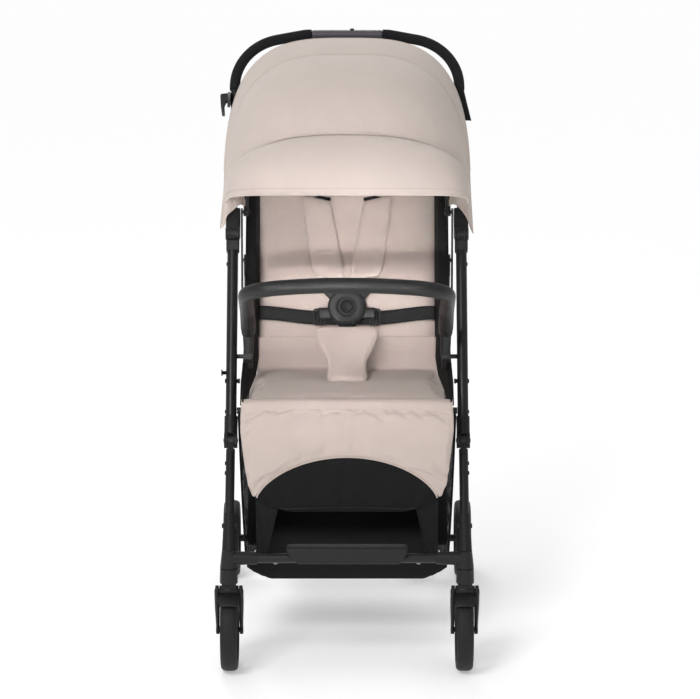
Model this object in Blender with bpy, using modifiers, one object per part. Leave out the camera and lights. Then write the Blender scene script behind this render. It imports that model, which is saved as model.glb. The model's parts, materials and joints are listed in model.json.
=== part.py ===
"""A compact folding stroller, standing open on its four wheels.

X runs across the stroller, -Y is the front, +Z is up. Places are worked out in a side view whose
y is measured back from the front wheels' contact line; place() moves them to the final origin,
on the floor, half way along the wheelbase.
"""

import math

import bmesh
import bpy
from mathutils import Matrix, Vector

# Driving sizes, in metres and degrees
WHEELBASE = 0.545
WHEEL_R = 0.0725
TYRE_WIDTH = 0.025
TYRE_DEPTH = 0.014
FRAME_X = 0.206
REAR_LEG_X = 0.179
REAR_WHEEL_X = 0.220
TUBE_R = 0.0098
FRONT_LEG_R = 0.0082
REAR_LEG_R = 0.0088
HANDLE_TUBE_R = 0.0072
GRIP_R = 0.0097
COVER_R = 0.0088
HANDLE_LENGTH = 0.405
HANDLE_LEAN = 35.0
HANDLE_CORNER = 0.096
HANDLE_RISE = 0.026
CENTRE_COVER_HALF = 0.0645
GRIP_FOOT = 0.292
KNEE = (0.130, 0.381)
UPPER_JOINT = (0.330, 0.708)
JOINT_OFFSET = 0.0145
CASTER_TRAIL = 0.022
SOCKET_Z = 0.2106
SOCKET_REACH = 0.050
TUBE_IN = 0.014
CROSS_R = 0.0085
BARREL_Z = 0.152
APEX = (0.360, 0.657)
CANOPY_PIVOT = (0.365, 0.745)
BUMPER_SPOT = 0.156
BUMPER_R = 0.0133
BUMPER_X = 0.1758
BUMPER_FRONT = (0.020, 0.687)
SEAT_FRAME_X = 0.158
SEAT_FRAME_R = 0.0065
SEAT_FRAME_Z = 0.428
SEAT_FRONT_Y = 0.092
SEAT_BACK_Y = 0.308
RECLINE_PIVOT = (0.318, 0.446)
BACK_LEAN = 24.0
BACK_HEIGHT = 0.400
BACK_FRAME_X = 0.1445
BACK_FRAME_R = 0.0055
SEAT_HALF_WIDTH = 0.176
SEAT_TOP_Z = 0.468
SEAT_THICK = 0.030
BACK_HALF_WIDTH = 0.163
BACK_THICK = 0.026
CALF_FOOT = (0.030, 0.243)
CALF_THICK = 0.012
BASKET_X = 0.162
BASKET_FRONT_Y = 0.128
BASKET_REAR_Y = 0.480
BASKET_FLOOR_Z = 0.128
BASKET_LIP_Z = 0.166
BASKET_WALL = 0.003
GAP = 0.0003
RUNNING = 0.0004
SLACK = 0.0008
CLOTH = 0.002

STEEL = ((0.022, 0.022, 0.024), 0.38, 0.6)
PLASTIC = ((0.030, 0.030, 0.032), 0.50, 0.0)
FOAM = ((0.028, 0.028, 0.030), 0.85, 0.0)
RUBBER = ((0.035, 0.035, 0.037), 0.75, 0.0)
COVER = ((0.115, 0.110, 0.125), 0.45, 0.0)
LEATHER = ((0.045, 0.045, 0.048), 0.55, 0.0)
BEIGE = ((0.665, 0.560, 0.480), 0.90, 0.0)
BLACK_CLOTH = ((0.020, 0.020, 0.022), 0.92, 0.0)

CENTRE = Vector((0.0, WHEELBASE / 2, 0.0))
SIDES = {"left": -1, "right": 1}


def clear_scene():
    for obj in list(bpy.data.objects):
        bpy.data.objects.remove(obj, do_unlink=True)


def collection(name):
    found = bpy.data.collections.new(name)
    bpy.context.scene.collection.children.link(found)
    return found


def material(name, finish):
    colour, roughness, metallic = finish
    made = bpy.data.materials.new(name)
    made.use_nodes = True
    shader = made.node_tree.nodes["Principled BSDF"]
    shader.inputs["Base Color"].default_value = (*colour, 1.0)
    shader.inputs["Roughness"].default_value = roughness
    shader.inputs["Metallic"].default_value = metallic
    return made


def mesh_object(name, mesh):
    obj = bpy.data.objects.new(name, mesh)
    bpy.context.scene.collection.objects.link(obj)
    return obj


def from_bmesh(name, form):
    bmesh.ops.recalc_face_normals(form, faces=form.faces)
    mesh = bpy.data.meshes.new(name)
    form.to_mesh(mesh)
    form.free()
    return mesh_object(name, mesh)


def settled(obj):
    """The object as its modifiers leave it, as one plain mesh with welded caps."""
    bpy.context.view_layer.update()
    graph = bpy.context.evaluated_depsgraph_get()
    mesh = bpy.data.meshes.new_from_object(obj.evaluated_get(graph))
    mesh.transform(obj.matrix_world)
    form = bmesh.new()
    form.from_mesh(mesh)
    bmesh.ops.remove_doubles(form, verts=form.verts, dist=1e-6)
    bmesh.ops.recalc_face_normals(form, faces=form.faces)
    form.to_mesh(mesh)
    form.free()
    name = obj.name
    bpy.data.objects.remove(obj, do_unlink=True)
    mesh.name = name
    return mesh_object(name, mesh)


def side(pair, x=0.0):
    """A side-view point (y, z) at a place across the stroller."""
    return Vector((x, pair[0], pair[1]))


def lean(degrees):
    """The side-view direction that leans back from upright."""
    return Vector((0.0, math.sin(math.radians(degrees)), math.cos(math.radians(degrees))))


def along(start, end):
    return (end - start).normalized()


def cylinder(radius, start, end, sides=16, end_radius=None):
    """A solid bar or cone between two points."""
    form = bmesh.new()
    axis = end - start
    turn = axis.to_track_quat("Z", "X").to_matrix().to_4x4()
    bmesh.ops.create_cone(
        form,
        cap_ends=True,
        segments=sides,
        radius1=radius,
        radius2=radius if end_radius is None else end_radius,
        depth=axis.length,
        matrix=Matrix.Translation((start + end) / 2) @ turn,
    )
    return from_bmesh("bar", form)


def across(radius, x0, x1, pair, sides=16):
    """A bar that lies across the stroller, at a side-view point."""
    return cylinder(radius, side(pair, x0), side(pair, x1), sides)


def box(low, high):
    form = bmesh.new()
    low, high = Vector(low), Vector(high)
    size = Matrix.Diagonal((*(high - low), 1.0))
    bmesh.ops.create_cube(form, size=1.0, matrix=Matrix.Translation((low + high) / 2) @ size)
    return from_bmesh("box", form)


def plate(outline, x0, x1):
    """A side-view outline of (y, z) points, as thick as x0 to x1."""
    curve = bpy.data.curves.new("outline", "CURVE")
    curve.dimensions = "2D"
    curve.fill_mode = "BOTH"
    curve.extrude = abs(x1 - x0) / 2
    spline = curve.splines.new("POLY")
    spline.points.add(len(outline) - 1)
    for point, (y, z) in zip(spline.points, outline):
        point.co = (y, z, 0.0, 1.0)
    spline.use_cyclic_u = True
    obj = bpy.data.objects.new("plate", curve)
    bpy.context.scene.collection.objects.link(obj)
    obj.matrix_world = Matrix(
        ((0, 0, 1, (x0 + x1) / 2), (1, 0, 0, 0), (0, 1, 0, 0), (0, 0, 0, 1))
    )
    return settled(obj)


def arc_points(centre, radius, start, end, steps):
    """Side-view points round a centre, from one angle to another in degrees."""
    turns = (math.radians(start + (end - start) * i / steps) for i in range(steps + 1))
    return [(centre[0] + radius * math.cos(a), centre[1] + radius * math.sin(a)) for a in turns]


def rounded(corners, radius, steps=5):
    """An open path through its corners, each inner corner bent to a radius."""
    path = [corners[0]]
    for before, here, after in zip(corners, corners[1:], corners[2:]):
        back, on = along(here, before), along(here, after)
        half = back.angle(on) / 2
        reach = radius / math.tan(half)
        middle = here + (back + on).normalized() * (radius / math.sin(half))
        first = here + back * reach - middle
        last = here + on * reach - middle
        sweep = first.angle(last)
        for i in range(steps + 1):
            share = i / steps
            a = math.sin((1 - share) * sweep) / math.sin(sweep)
            b = math.sin(share * sweep) / math.sin(sweep)
            path.append(middle + first * a + last * b)
    path.append(corners[-1])
    return path


def tube(path, radius, resolution=4, closed=False):
    """A bent bar of one radius along a path, or round a closed one."""
    curve = bpy.data.curves.new("route", "CURVE")
    curve.dimensions = "3D"
    curve.bevel_depth = radius
    curve.bevel_resolution = resolution
    curve.use_fill_caps = True
    spline = curve.splines.new("POLY")
    spline.points.add(len(path) - 1)
    spline.use_cyclic_u = closed
    for point, at in zip(spline.points, path):
        point.co = (*at, 1.0)
    obj = bpy.data.objects.new("tube", curve)
    bpy.context.scene.collection.objects.link(obj)
    return settled(obj)


def turned(profile, x_centre, pair, sides=32):
    """A ring or wheel turned about an axis across the stroller, from (along axis, radius) points."""
    form = bmesh.new()
    points = [form.verts.new((radius, 0.0, height)) for height, radius in profile]
    for a, b in zip(points, points[1:] + points[:1]):
        form.edges.new((a, b))
    mesh = bpy.data.meshes.new("profile")
    form.to_mesh(mesh)
    form.free()
    obj = mesh_object("turned", mesh)
    screw = obj.modifiers.new("turn", "SCREW")
    screw.axis = "Z"
    screw.steps = sides
    screw.render_steps = sides
    screw.use_merge_vertices = True
    screw.merge_threshold = 0.00001
    obj.matrix_world = Matrix.Translation(side(pair, x_centre)) @ Matrix.Rotation(
        math.pi / 2, 4, "Y"
    )
    return settled(obj)


def combine(target, others, operation):
    for other in others:
        cut = target.modifiers.new("combine", "BOOLEAN")
        cut.operation = operation
        cut.object = other
    made = settled(target)
    for other in others:
        bpy.data.objects.remove(other, do_unlink=True)
    return made


def joined(target, *others):
    return combine(target, others, "UNION")


def carved(target, *others):
    return combine(target, others, "DIFFERENCE")


def bevelled(obj, width, segments=2, angle=35.0):
    edge = obj.modifiers.new("edge", "BEVEL")
    edge.width = width
    edge.segments = segments
    edge.limit_method = "ANGLE"
    edge.angle_limit = math.radians(angle)
    return settled(obj)


def place(obj, name, look, pivot=(0.0, 0.0, 0.0)):
    """Names a finished piece, sets its origin on its pivot and moves it to the final frame."""
    pivot = Vector(pivot)
    obj.data.transform(Matrix.Translation(-pivot))
    obj.location = pivot - CENTRE
    obj.name = name
    obj.data.name = name
    obj.data.materials.clear()
    obj.data.materials.append(look)
    obj.data.shade_smooth()
    obj.data.set_sharp_from_angle(angle=math.radians(40))
    for used in list(obj.users_collection):
        used.objects.unlink(obj)
    PARTS.objects.link(obj)
    return obj


# Lines that several pieces share
MID_UP = along(side(KNEE), side(UPPER_JOINT))
MID_FRONT = Vector((0.0, -MID_UP.z, MID_UP.y))
HANDLE_UP = lean(HANDLE_LEAN)
HANDLE_FRONT = Vector((0.0, -HANDLE_UP.z, HANDLE_UP.y))
FOLD_PIVOT = side(UPPER_JOINT) + MID_FRONT * JOINT_OFFSET
BUMPER_PIVOT = tuple((side(KNEE) + MID_UP * BUMPER_SPOT).yz)
BUMPER_PIN_R = 0.0040
HANDLE_FOOT = FOLD_PIVOT - HANDLE_FRONT * JOINT_OFFSET
JOINT_TILT = HANDLE_FRONT.dot(MID_UP)
SWIVEL = (-CASTER_TRAIL, SOCKET_Z)
FRONT_DOWN = along(side(KNEE), side(SWIVEL))
REAR_AXLE = (WHEELBASE, WHEEL_R)
REAR_DOWN = along(side(APEX), side(REAR_AXLE))
BARREL = (-CASTER_TRAIL, BARREL_Z)
FRONT_AXLE = (0.0, WHEEL_R)
BACK_UP = lean(BACK_LEAN)
BACK_FRONT = Vector((0.0, -BACK_UP.z, BACK_UP.y))
KNUCKLE_R = 0.0112
TONGUE_HALF = 0.0050
JOINT_HALF = 0.0128
PIN_R = 0.0035
EYE_R = 0.0115
PLATE_X = (0.1890, 0.1925)


def in_line(origin, up, front, pairs):
    """Side-view outline from (along, forward) pairs on a tilted line."""
    return [((origin + up * a + front * f).y, (origin + up * a + front * f).z) for a, f in pairs]


def handle_path():
    """The hoop from the left foot round to the right one, on its own axis."""
    top = HANDLE_FOOT + HANDLE_UP * HANDLE_LENGTH
    corners = [
        Vector((-FRAME_X, *HANDLE_FOOT.yz)) + HANDLE_UP * 0.020,
        Vector((-FRAME_X, *(top - HANDLE_UP * HANDLE_RISE).yz)),
        Vector((-CENTRE_COVER_HALF - 0.012, *top.yz)),
    ]
    left = rounded(corners, HANDLE_CORNER, 7)
    right = [Vector((-p.x, p.y, p.z)) for p in reversed(left)]
    return left + right


def build_handle(looks):
    path = handle_path()
    hoop = tube(path, HANDLE_TUBE_R, 3)
    top = HANDLE_FOOT + HANDLE_UP * HANDLE_LENGTH
    back = -HANDLE_FRONT
    pocket = cylinder(0.0068, top + back * 0.0030, top + back * 0.0130, 16)
    rail = box(
        (0.004, top.y - 0.0022, top.z + HANDLE_TUBE_R - 0.0035),
        (0.024, top.y + 0.0022, top.z + HANDLE_TUBE_R + 0.004),
    )
    place(carved(hoop, pocket, rail), "handle_tube", looks["steel"])

    cover = tube([Vector((x, *top.yz)) for x in (-CENTRE_COVER_HALF, CENTRE_COVER_HALF)], COVER_R)
    bore = tube([Vector((x, *top.yz)) for x in (-0.08, 0.08)], HANDLE_TUBE_R + GAP)
    pocket = cylinder(0.0068, top + back * 0.0030, top + back * 0.0130, 16)
    rail = box((0.004, top.y - 0.0022, top.z), (0.024, top.y + 0.0022, top.z + 0.013))
    place(carved(cover, bore, pocket, rail), "handle_centre_cover", looks["cover"])

    button = cylinder(0.0060, top + back * 0.0062, top + back * 0.0112, 16, 0.0052)
    place(button, "fold_button", looks["plastic"], top + back * 0.0112)
    slide = box(
        (0.0052, top.y - 0.0017, top.z + HANDLE_TUBE_R - 0.0031),
        (0.0128, top.y + 0.0017, top.z + 0.0118),
    )
    place(bevelled(slide, 0.0007, 1), "fold_slide", looks["plastic"], (0.009, top.y, top.z + 0.0118))

    for name, sign in SIDES.items():
        build_grip(looks, path, name, sign)
        build_upper_joint(looks, name, sign)
    build_hook(looks)


def build_grip(looks, path, name, sign):
    """A foam sleeve from above the canopy clip to the centre cover."""
    foot = HANDLE_FOOT + HANDLE_UP * GRIP_FOOT
    top = HANDLE_FOOT + HANDLE_UP * HANDLE_LENGTH
    route = [Vector((sign * FRAME_X, *foot.yz))]
    for point in path[: len(path) // 2]:
        if (point - HANDLE_FOOT).dot(HANDLE_UP) > GRIP_FOOT + 0.006 or abs(point.x) < FRAME_X - 0.001:
            route.append(Vector((-sign * point.x, point.y, point.z)))
    route.append(Vector((sign * (CENTRE_COVER_HALF + GAP * 2), *top.yz)))
    sleeve = tube(route, GRIP_R, 3)
    first = route[0] - HANDLE_UP * 0.02
    bore = tube([first] + route[1:-1] + [Vector((sign * 0.04, *top.yz))], HANDLE_TUBE_R + GAP, 3)
    place(carved(sleeve, bore), f"grip_{name}", looks["foam"])


def build_upper_joint(looks, name, sign):
    """The handle's housing and the base knuckle, which meet on a pin at the front edge."""
    x = sign * FRAME_X
    low, high = sorted((x - JOINT_HALF, x + JOINT_HALF))
    pivot = (FOLD_PIVOT.y, FOLD_PIVOT.z)
    outline = in_line(
        FOLD_PIVOT,
        HANDLE_UP,
        HANDLE_FRONT,
        [(0.0008, -0.0005), (0.0008, -0.0285), (0.030, -0.0290), (0.048, -0.0245),
         (0.054, -0.0200), (0.054, -0.0060), (0.040, -0.0010), (0.014, 0.0)],
    )
    housing = joined(
        bevelled(plate(outline, low, high), 0.0018, 1),
        across(KNUCKLE_R, low, high, pivot, 18),
    )
    socket = cylinder(
        HANDLE_TUBE_R + GAP,
        HANDLE_FOOT + HANDLE_UP * (0.020 - GAP) + Vector((x, 0, 0)),
        HANDLE_FOOT + HANDLE_UP * 0.09 + Vector((x, 0, 0)),
        16,
    )
    slot = across(KNUCKLE_R + RUNNING, x - TONGUE_HALF - RUNNING, x + TONGUE_HALF + RUNNING, pivot, 18)
    bore = across(PIN_R + RUNNING, low - 0.01, high + 0.01, pivot, 14)
    window = plate(
        in_line(FOLD_PIVOT, HANDLE_UP, HANDLE_FRONT, [(0.018, -0.003), (0.018, 0.01), (0.031, 0.01), (0.031, -0.003)]),
        x - 0.0035,
        x + 0.0035,
    )
    housing = carved(housing, socket, slot, bore, window)
    place(housing, f"fold_housing_{name}", looks["plastic"], FOLD_PIVOT + Vector((x, 0, 0)))

    outline = in_line(
        FOLD_PIVOT,
        MID_UP,
        MID_FRONT,
        [(-0.0010, -0.0020), (-0.0010 - 0.0280 * JOINT_TILT, -0.0280), (-0.012, -0.0275), (-0.030, -0.0250),
         (-0.030, -0.0040), (-0.016, -0.0022)],
    )
    base = bevelled(plate(outline, x - 0.0116, x + 0.0116), 0.0018, 1)
    cheeks = [
        across(KNUCKLE_R + RUNNING, a, b, pivot, 18)
        for a, b in ((low - 0.01, x - TONGUE_HALF), (x + TONGUE_HALF, high + 0.01))
    ]
    base = carved(base, *cheeks)
    tongue = across(KNUCKLE_R, x - TONGUE_HALF, x + TONGUE_HALF, pivot, 18)
    pin = across(PIN_R, low, high, pivot, 14)
    socket = cylinder(
        TUBE_R + GAP,
        side(UPPER_JOINT, x) - MID_UP * (0.018 - GAP),
        side(UPPER_JOINT, x) - MID_UP * 0.06,
        16,
    )
    base = carved(joined(base, tongue, pin), socket)
    place(base, f"fold_base_{name}", looks["plastic"])


def build_hook(looks):
    """The hook at the left end of the handle, whose claw meets the stud when the handle is down."""
    at = HANDLE_FOOT + HANDLE_UP * 0.274
    x = -FRAME_X - HANDLE_TUBE_R - GAP
    outline = in_line(
        at,
        HANDLE_UP,
        HANDLE_FRONT,
        [(0.010, -0.007), (0.010, 0.010), (-0.004, 0.024), (-0.022, 0.031), (-0.030, 0.028),
         (-0.027, 0.0235), (-0.020, 0.0225), (-0.010, 0.015), (-0.014, 0.004), (-0.010, -0.007)],
    )
    blade = plate(outline, x - 0.0050, x)
    boss = cylinder(0.0058, at + Vector((x - 0.0064, 0, 0)), at + Vector((x - 0.004, 0, 0)), 16)
    place(joined(blade, boss), "storage_hook", looks["plastic"], at + Vector((x, 0, 0)))


def build_middle(looks):
    for name, sign in SIDES.items():
        x = sign * FRAME_X
        knee, joint = side(KNEE, x), side(UPPER_JOINT, x)
        bar = cylinder(TUBE_R, knee + MID_UP * 0.019, joint - MID_UP * 0.018, 16)
        rivets = []
        for spot, reach in ((0.053, 0.0016), (0.330, 0.0016)):
            head = knee + MID_UP * spot
            rivets.append(cylinder(0.0036, head, head + Vector((sign * (TUBE_R + reach), 0, 0)), 10))
        knob = knee + MID_UP * 0.110
        rivets.append(cylinder(0.0045, knob, knob - Vector((sign * (TUBE_R + 0.0055), 0, 0)), 12))
        pin = knee + MID_UP * BUMPER_SPOT
        reach = Vector((sign * (FRAME_X - BUMPER_X + 0.0032), 0, 0))
        rivets.append(cylinder(BUMPER_PIN_R, pin, pin - reach, 14))
        outer = cylinder(0.0042, knob, knob + Vector((sign * (TUBE_R + 0.0022), 0, 0)), 12)
        rivets.append(outer)
        if name == "left":
            stud = joint - MID_UP * 0.258
            rivets.append(cylinder(0.0032, stud, stud - Vector((TUBE_R + 0.0070, 0, 0)), 12))
            flange = stud - Vector((TUBE_R + 0.0062, 0, 0))
            rivets.append(cylinder(0.0060, flange, flange - Vector((0.0022, 0, 0)), 14))
        place(joined(bar, *rivets), f"middle_tube_{name}", looks["steel"])
        build_knee(looks, name, sign)
        build_hinge_plate(looks, name, sign)


def build_knee(looks, name, sign):
    """Two round cheeks on a pin, with a sleeve up round the middle tube."""
    x = sign * FRAME_X
    low, high = x - 0.0118, x + 0.0118
    discs = across(0.0140, low, high, KNEE, 18)
    sleeve = cylinder(0.0118, side(KNEE, x) + MID_UP * 0.006, side(KNEE, x) + MID_UP * 0.044, 16)
    bore = cylinder(TUBE_R + GAP, side(KNEE, x) + MID_UP * (0.019 - GAP), side(KNEE, x) + MID_UP * 0.09, 16)
    slot = across(0.0165, x - TONGUE_HALF - RUNNING, x + TONGUE_HALF + RUNNING, KNEE, 20)
    body = carved(joined(discs, sleeve), bore, slot)
    pin = across(PIN_R, low - 0.0012, high + 0.0012, KNEE, 14)
    place(joined(body, pin), f"knee_joint_{name}", looks["plastic"])


def build_hinge_plate(looks, name, sign):
    """The flat bar inside the upper joint: it carries the rear leg and the canopy's pivot."""
    x0, x1 = (sign * PLATE_X[0], sign * PLATE_X[1])
    top, foot = side(CANOPY_PIVOT), side((APEX[0] - 0.004, APEX[1] - 0.052))
    down = along(top, foot)
    across_bar = Vector((0.0, -down.z, down.y))
    half = 0.0075
    cap = arc_points(CANOPY_PIVOT, half, 0, 360, 16)[:-1]
    bar = plate(
        [tuple((top + across_bar * half).yz), tuple((top - across_bar * half).yz),
         tuple((foot - across_bar * half).yz), tuple((foot + across_bar * half).yz)],
        min(x0, x1),
        max(x0, x1),
    )
    round_end = plate(cap, min(x0, x1), max(x0, x1))
    pins = [
        across(PIN_R, *sorted((sign * 0.1760, sign * PLATE_X[1])), CANOPY_PIVOT, 14),
        across(PIN_R, *sorted((sign * 0.1750, sign * PLATE_X[1])), APEX, 14),
    ]
    place(joined(bar, round_end, *pins), f"hinge_plate_{name}", looks["steel"])


def build_front_legs(looks):
    leg_end = (side(SWIVEL) - side(KNEE)).length - 0.012
    for name, sign in SIDES.items():
        x = sign * FRAME_X
        knee = side(KNEE, x)
        eye = across(EYE_R, x - TONGUE_HALF, x + TONGUE_HALF, KNEE, 20)
        neck = plate(
            in_line(side(KNEE), FRONT_DOWN, Vector((0, FRONT_DOWN.z, -FRONT_DOWN.y)),
                    [(0.0, -0.0082), (0.026, -0.0078), (0.026, 0.0078), (0.0, 0.0082)]),
            x - TONGUE_HALF,
            x + TONGUE_HALF,
        )
        bar = cylinder(FRONT_LEG_R, knee + FRONT_DOWN * 0.0185, knee + FRONT_DOWN * leg_end, 16)
        rivets = []
        for spot in (0.045, 0.064):
            head = knee + FRONT_DOWN * spot
            rivets.append(cylinder(0.0034, head, head + Vector((sign * (FRONT_LEG_R + 0.0016), 0, 0)), 10))
        bore = across(PIN_R + RUNNING, x - 0.02, x + 0.02, KNEE, 14)
        leg = carved(joined(eye, neck, bar, *rivets), bore)
        place(leg, f"front_leg_{name}", looks["steel"], knee)
        build_casting(looks, name, sign, leg_end)
    tube_end = FRAME_X - SOCKET_REACH + TUBE_IN
    bar = across(CROSS_R, -tube_end, tube_end, SWIVEL, 16)
    place(bar, "front_cross_tube", looks["steel"])
    build_footrest(looks)


def build_casting(looks, name, sign, leg_end):
    """The front corner: a sleeve for the leg, a socket for the cross tube, a bush for the caster."""
    x = sign * FRAME_X
    knee, foot = side(KNEE, x), side(SWIVEL, x)
    sleeve = cylinder(0.0100, knee + FRONT_DOWN * (leg_end - 0.072), foot + FRONT_DOWN * 0.002, 14, 0.0125)
    bush = cylinder(0.0152, foot - Vector((0, 0, 0.0165)), foot + Vector((0, 0, 0.014)), 16, 0.0118)
    hub = cylinder(0.0128, foot, foot - Vector((sign * SOCKET_REACH, 0, 0)), 14, 0.0108)
    rivet_at = knee + FRONT_DOWN * (leg_end - 0.050)
    rivet = cylinder(0.0042, rivet_at - Vector((0.0130, 0, 0)), rivet_at + Vector((0.0130, 0, 0)), 10)
    body = joined(sleeve, bush, hub, rivet)
    leg_bore = cylinder(FRONT_LEG_R + GAP, knee + FRONT_DOWN * 0.05, knee + FRONT_DOWN * (leg_end + GAP), 16)
    inner, outer = FRAME_X - SOCKET_REACH + TUBE_IN + GAP, FRAME_X - SOCKET_REACH - 0.02
    tube_bore = across(CROSS_R + GAP, *sorted((sign * inner, sign * outer)), SWIVEL, 16)
    stem_bore = cylinder(0.0055 + RUNNING, foot - Vector((0, 0, 0.03)), foot + Vector((0, 0, 0.004)), 12)
    body = carved(body, leg_bore, tube_bore, stem_bore)
    place(body, f"corner_casting_{name}", looks["plastic"])


def build_footrest(looks):
    """A moulded saddle over the cross tube, with round ends and a raised front lip."""
    half = 0.106
    y, z = SWIVEL
    outline = [(y - 0.016, z + 0.006), (y - 0.0175, z + 0.0125), (y - 0.014, z + 0.0135),
               (y - 0.004, z + 0.0112), (y + 0.0115, z + 0.0100), (y + 0.0130, z - 0.002),
               (y + 0.009, z - 0.0115), (y - 0.009, z - 0.0120), (y - 0.0145, z - 0.005)]
    pad = bevelled(plate(outline, -half, half), 0.0035, 3, 50.0)
    bore = across(CROSS_R + GAP, -half - 0.01, half + 0.01, SWIVEL, 16)
    place(carved(pad, bore), "footrest_pad", looks["plastic"])


def wheel(looks, name, x, axle, bore_r):
    """A tyre on a spoked hub, which turns on the axle."""
    half = TYRE_WIDTH / 2
    rim = WHEEL_R - TYRE_DEPTH
    profile = [(-half + 0.001, rim + GAP), (-half, WHEEL_R - 0.006), (-half + 0.0060, WHEEL_R),
               (half - 0.0060, WHEEL_R), (half, WHEEL_R - 0.006), (half - 0.001, rim + GAP)]
    pivot = side(axle, x)
    place(turned(profile, x, axle, 28), f"{name}_tyre", looks["rubber"], pivot)
    profile = [(-0.0125, bore_r), (-0.0125, 0.0165), (-0.0055, 0.0200), (-0.0045, 0.0480),
               (-0.0110, 0.0520), (-0.0110, rim), (0.0110, rim), (0.0110, 0.0520),
               (0.0045, 0.0480), (0.0055, 0.0200), (0.0125, 0.0165), (0.0125, bore_r)]
    disc = turned(profile, x, axle, 14)
    holes = []
    for i in range(5):
        turn = 2 * math.pi * i / 5
        spot = (axle[0] + 0.034 * math.cos(turn), axle[1] + 0.034 * math.sin(turn))
        holes.append(across(0.0092, x - 0.02, x + 0.02, spot, 6))
    place(carved(disc, *holes), f"{name}_hub", looks["plastic"], pivot)


def build_casters(looks):
    for name, sign in SIDES.items():
        x = sign * FRAME_X
        foot = side(SWIVEL, x)
        base = foot - Vector((0, 0, 0.0165))
        collar_top = base.z - 0.0010
        collar = cylinder(0.0158, Vector((x, base.y, 0.1655)), Vector((x, base.y, collar_top)), 24, 0.0150)
        neck = box((x - 0.0125, base.y - 0.0065, BARREL_Z - 0.001), (x + 0.0125, base.y + 0.0065, 0.168))
        barrel = across(0.0072, x - 0.0160, x + 0.0160, BARREL, 18)
        stem = cylinder(0.0055, Vector((x, base.y, 0.17)), foot + Vector((0, 0, 0.003)), 16)
        pin = across(0.0032, x - 0.0245, x + 0.0245, BARREL, 12)
        crown = joined(bevelled(collar, 0.0010, 1), neck, barrel, stem, pin)
        place(crown, f"caster_crown_{name}", looks["plastic"], side(SWIVEL, x))
        build_fork(looks, name, x)
        wheel(looks, f"front_{name}", x, FRONT_AXLE, 0.0040 + RUNNING)


def build_fork(looks, name, x):
    """Two trailing arms joined by a bridge ahead of the tyre, with the axle between them."""
    down = along(side(BARREL), side(FRONT_AXLE))
    arms = []
    length = (side(FRONT_AXLE) - side(BARREL)).length
    outline = in_line(side(BARREL), down, Vector((0, -1, 0)),
                      [(0.0, 0.0078), (0.012, 0.0105), (0.030, 0.0105), (length, 0.0062),
                       (length, -0.0062), (0.030, -0.0045), (0.0, -0.0078)])
    for low, high in ((x - 0.0238, x - 0.0178), (x + 0.0178, x + 0.0238)):
        arm = joined(
            plate(outline, low, high),
            across(0.0086, low, high, BARREL, 18),
            across(0.0080, low - 0.0006, high + 0.0006, FRONT_AXLE, 16),
        )
        arms.append(arm)
    inner = arc_points(FRONT_AXLE, WHEEL_R + 0.0035, 118, 146, 5)
    outer = arc_points(FRONT_AXLE, WHEEL_R + 0.0070, 146, 118, 5)
    bridge = plate(inner + outer, x - 0.0200, x + 0.0200)
    cheek = arc_points(FRONT_AXLE, WHEEL_R + 0.0057, 103, 148, 6) + arc_points(
        FRONT_AXLE, WHEEL_R - 0.016, 148, 103, 6)
    webs = [plate(cheek, a, b) for a, b in ((x - 0.0212, x - 0.0185), (x + 0.0185, x + 0.0212))]
    axle = across(0.0040, x - 0.0220, x + 0.0220, FRONT_AXLE, 16)
    bore = across(0.0032 + RUNNING, x - 0.03, x + 0.03, BARREL, 12)
    fork = carved(joined(arms[0], arms[1], bridge, *webs, axle), bore)
    place(fork, f"front_fork_{name}", looks["plastic"], side(BARREL, x))


def build_rear(looks):
    for name, sign in SIDES.items():
        x = sign * REAR_LEG_X
        apex, axle = side(APEX, x), side(REAR_AXLE, x)
        bar = cylinder(REAR_LEG_R, apex + REAR_DOWN * 0.016, axle - REAR_DOWN * 0.004, 14)
        eye = across(0.0110, x - 0.0030, x + 0.0085, APEX, 20)
        neck = plate(
            in_line(side(APEX), REAR_DOWN, Vector((0, REAR_DOWN.z, -REAR_DOWN.y)),
                    [(0.0, -0.0070), (0.030, -0.0070), (0.030, 0.0070), (0.0, 0.0070)]),
            x - 0.0030, x + 0.0085) if sign > 0 else plate(
            in_line(side(APEX), REAR_DOWN, Vector((0, REAR_DOWN.z, -REAR_DOWN.y)),
                    [(0.0, -0.0070), (0.030, -0.0070), (0.030, 0.0070), (0.0, 0.0070)]),
            x - 0.0085, x + 0.0030)
        shoe = across(0.0135, x - 0.0105, x + 0.0105, REAR_AXLE, 20)
        sleeve = cylinder(0.0112, axle - REAR_DOWN * 0.060, axle, 14, 0.0128)
        bores = [
            across(PIN_R + RUNNING, x - 0.03, x + 0.03, APEX, 14),
            across(0.0070 + GAP, x - 0.03, x + 0.03, REAR_AXLE, 18),
        ]
        if sign < 0:
            bpy.data.objects.remove(eye, do_unlink=True)
            eye = across(0.0110, x - 0.0085, x + 0.0030, APEX, 20)
        place(carved(joined(bar, eye, neck, shoe, sleeve), *bores), f"rear_leg_{name}", looks["steel"], apex)
        wheel(looks, f"rear_{name}", sign * REAR_WHEEL_X, REAR_AXLE, 0.0040 + RUNNING)
    ends = REAR_WHEEL_X + TYRE_WIDTH / 2 + GAP
    bar = across(0.0070, -0.2060, 0.2060, REAR_AXLE, 18)
    thin = across(0.0040, -ends - 0.0007, ends + 0.0007, REAR_AXLE, 14)
    cap = [across(0.0078, *sorted((s * ends, s * (ends + 0.0015))), REAR_AXLE, 14) for s in (-1, 1)]
    place(joined(bar, thin, *cap), "rear_axle", looks["steel"], side(REAR_AXLE))
    build_pedal(looks)


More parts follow.
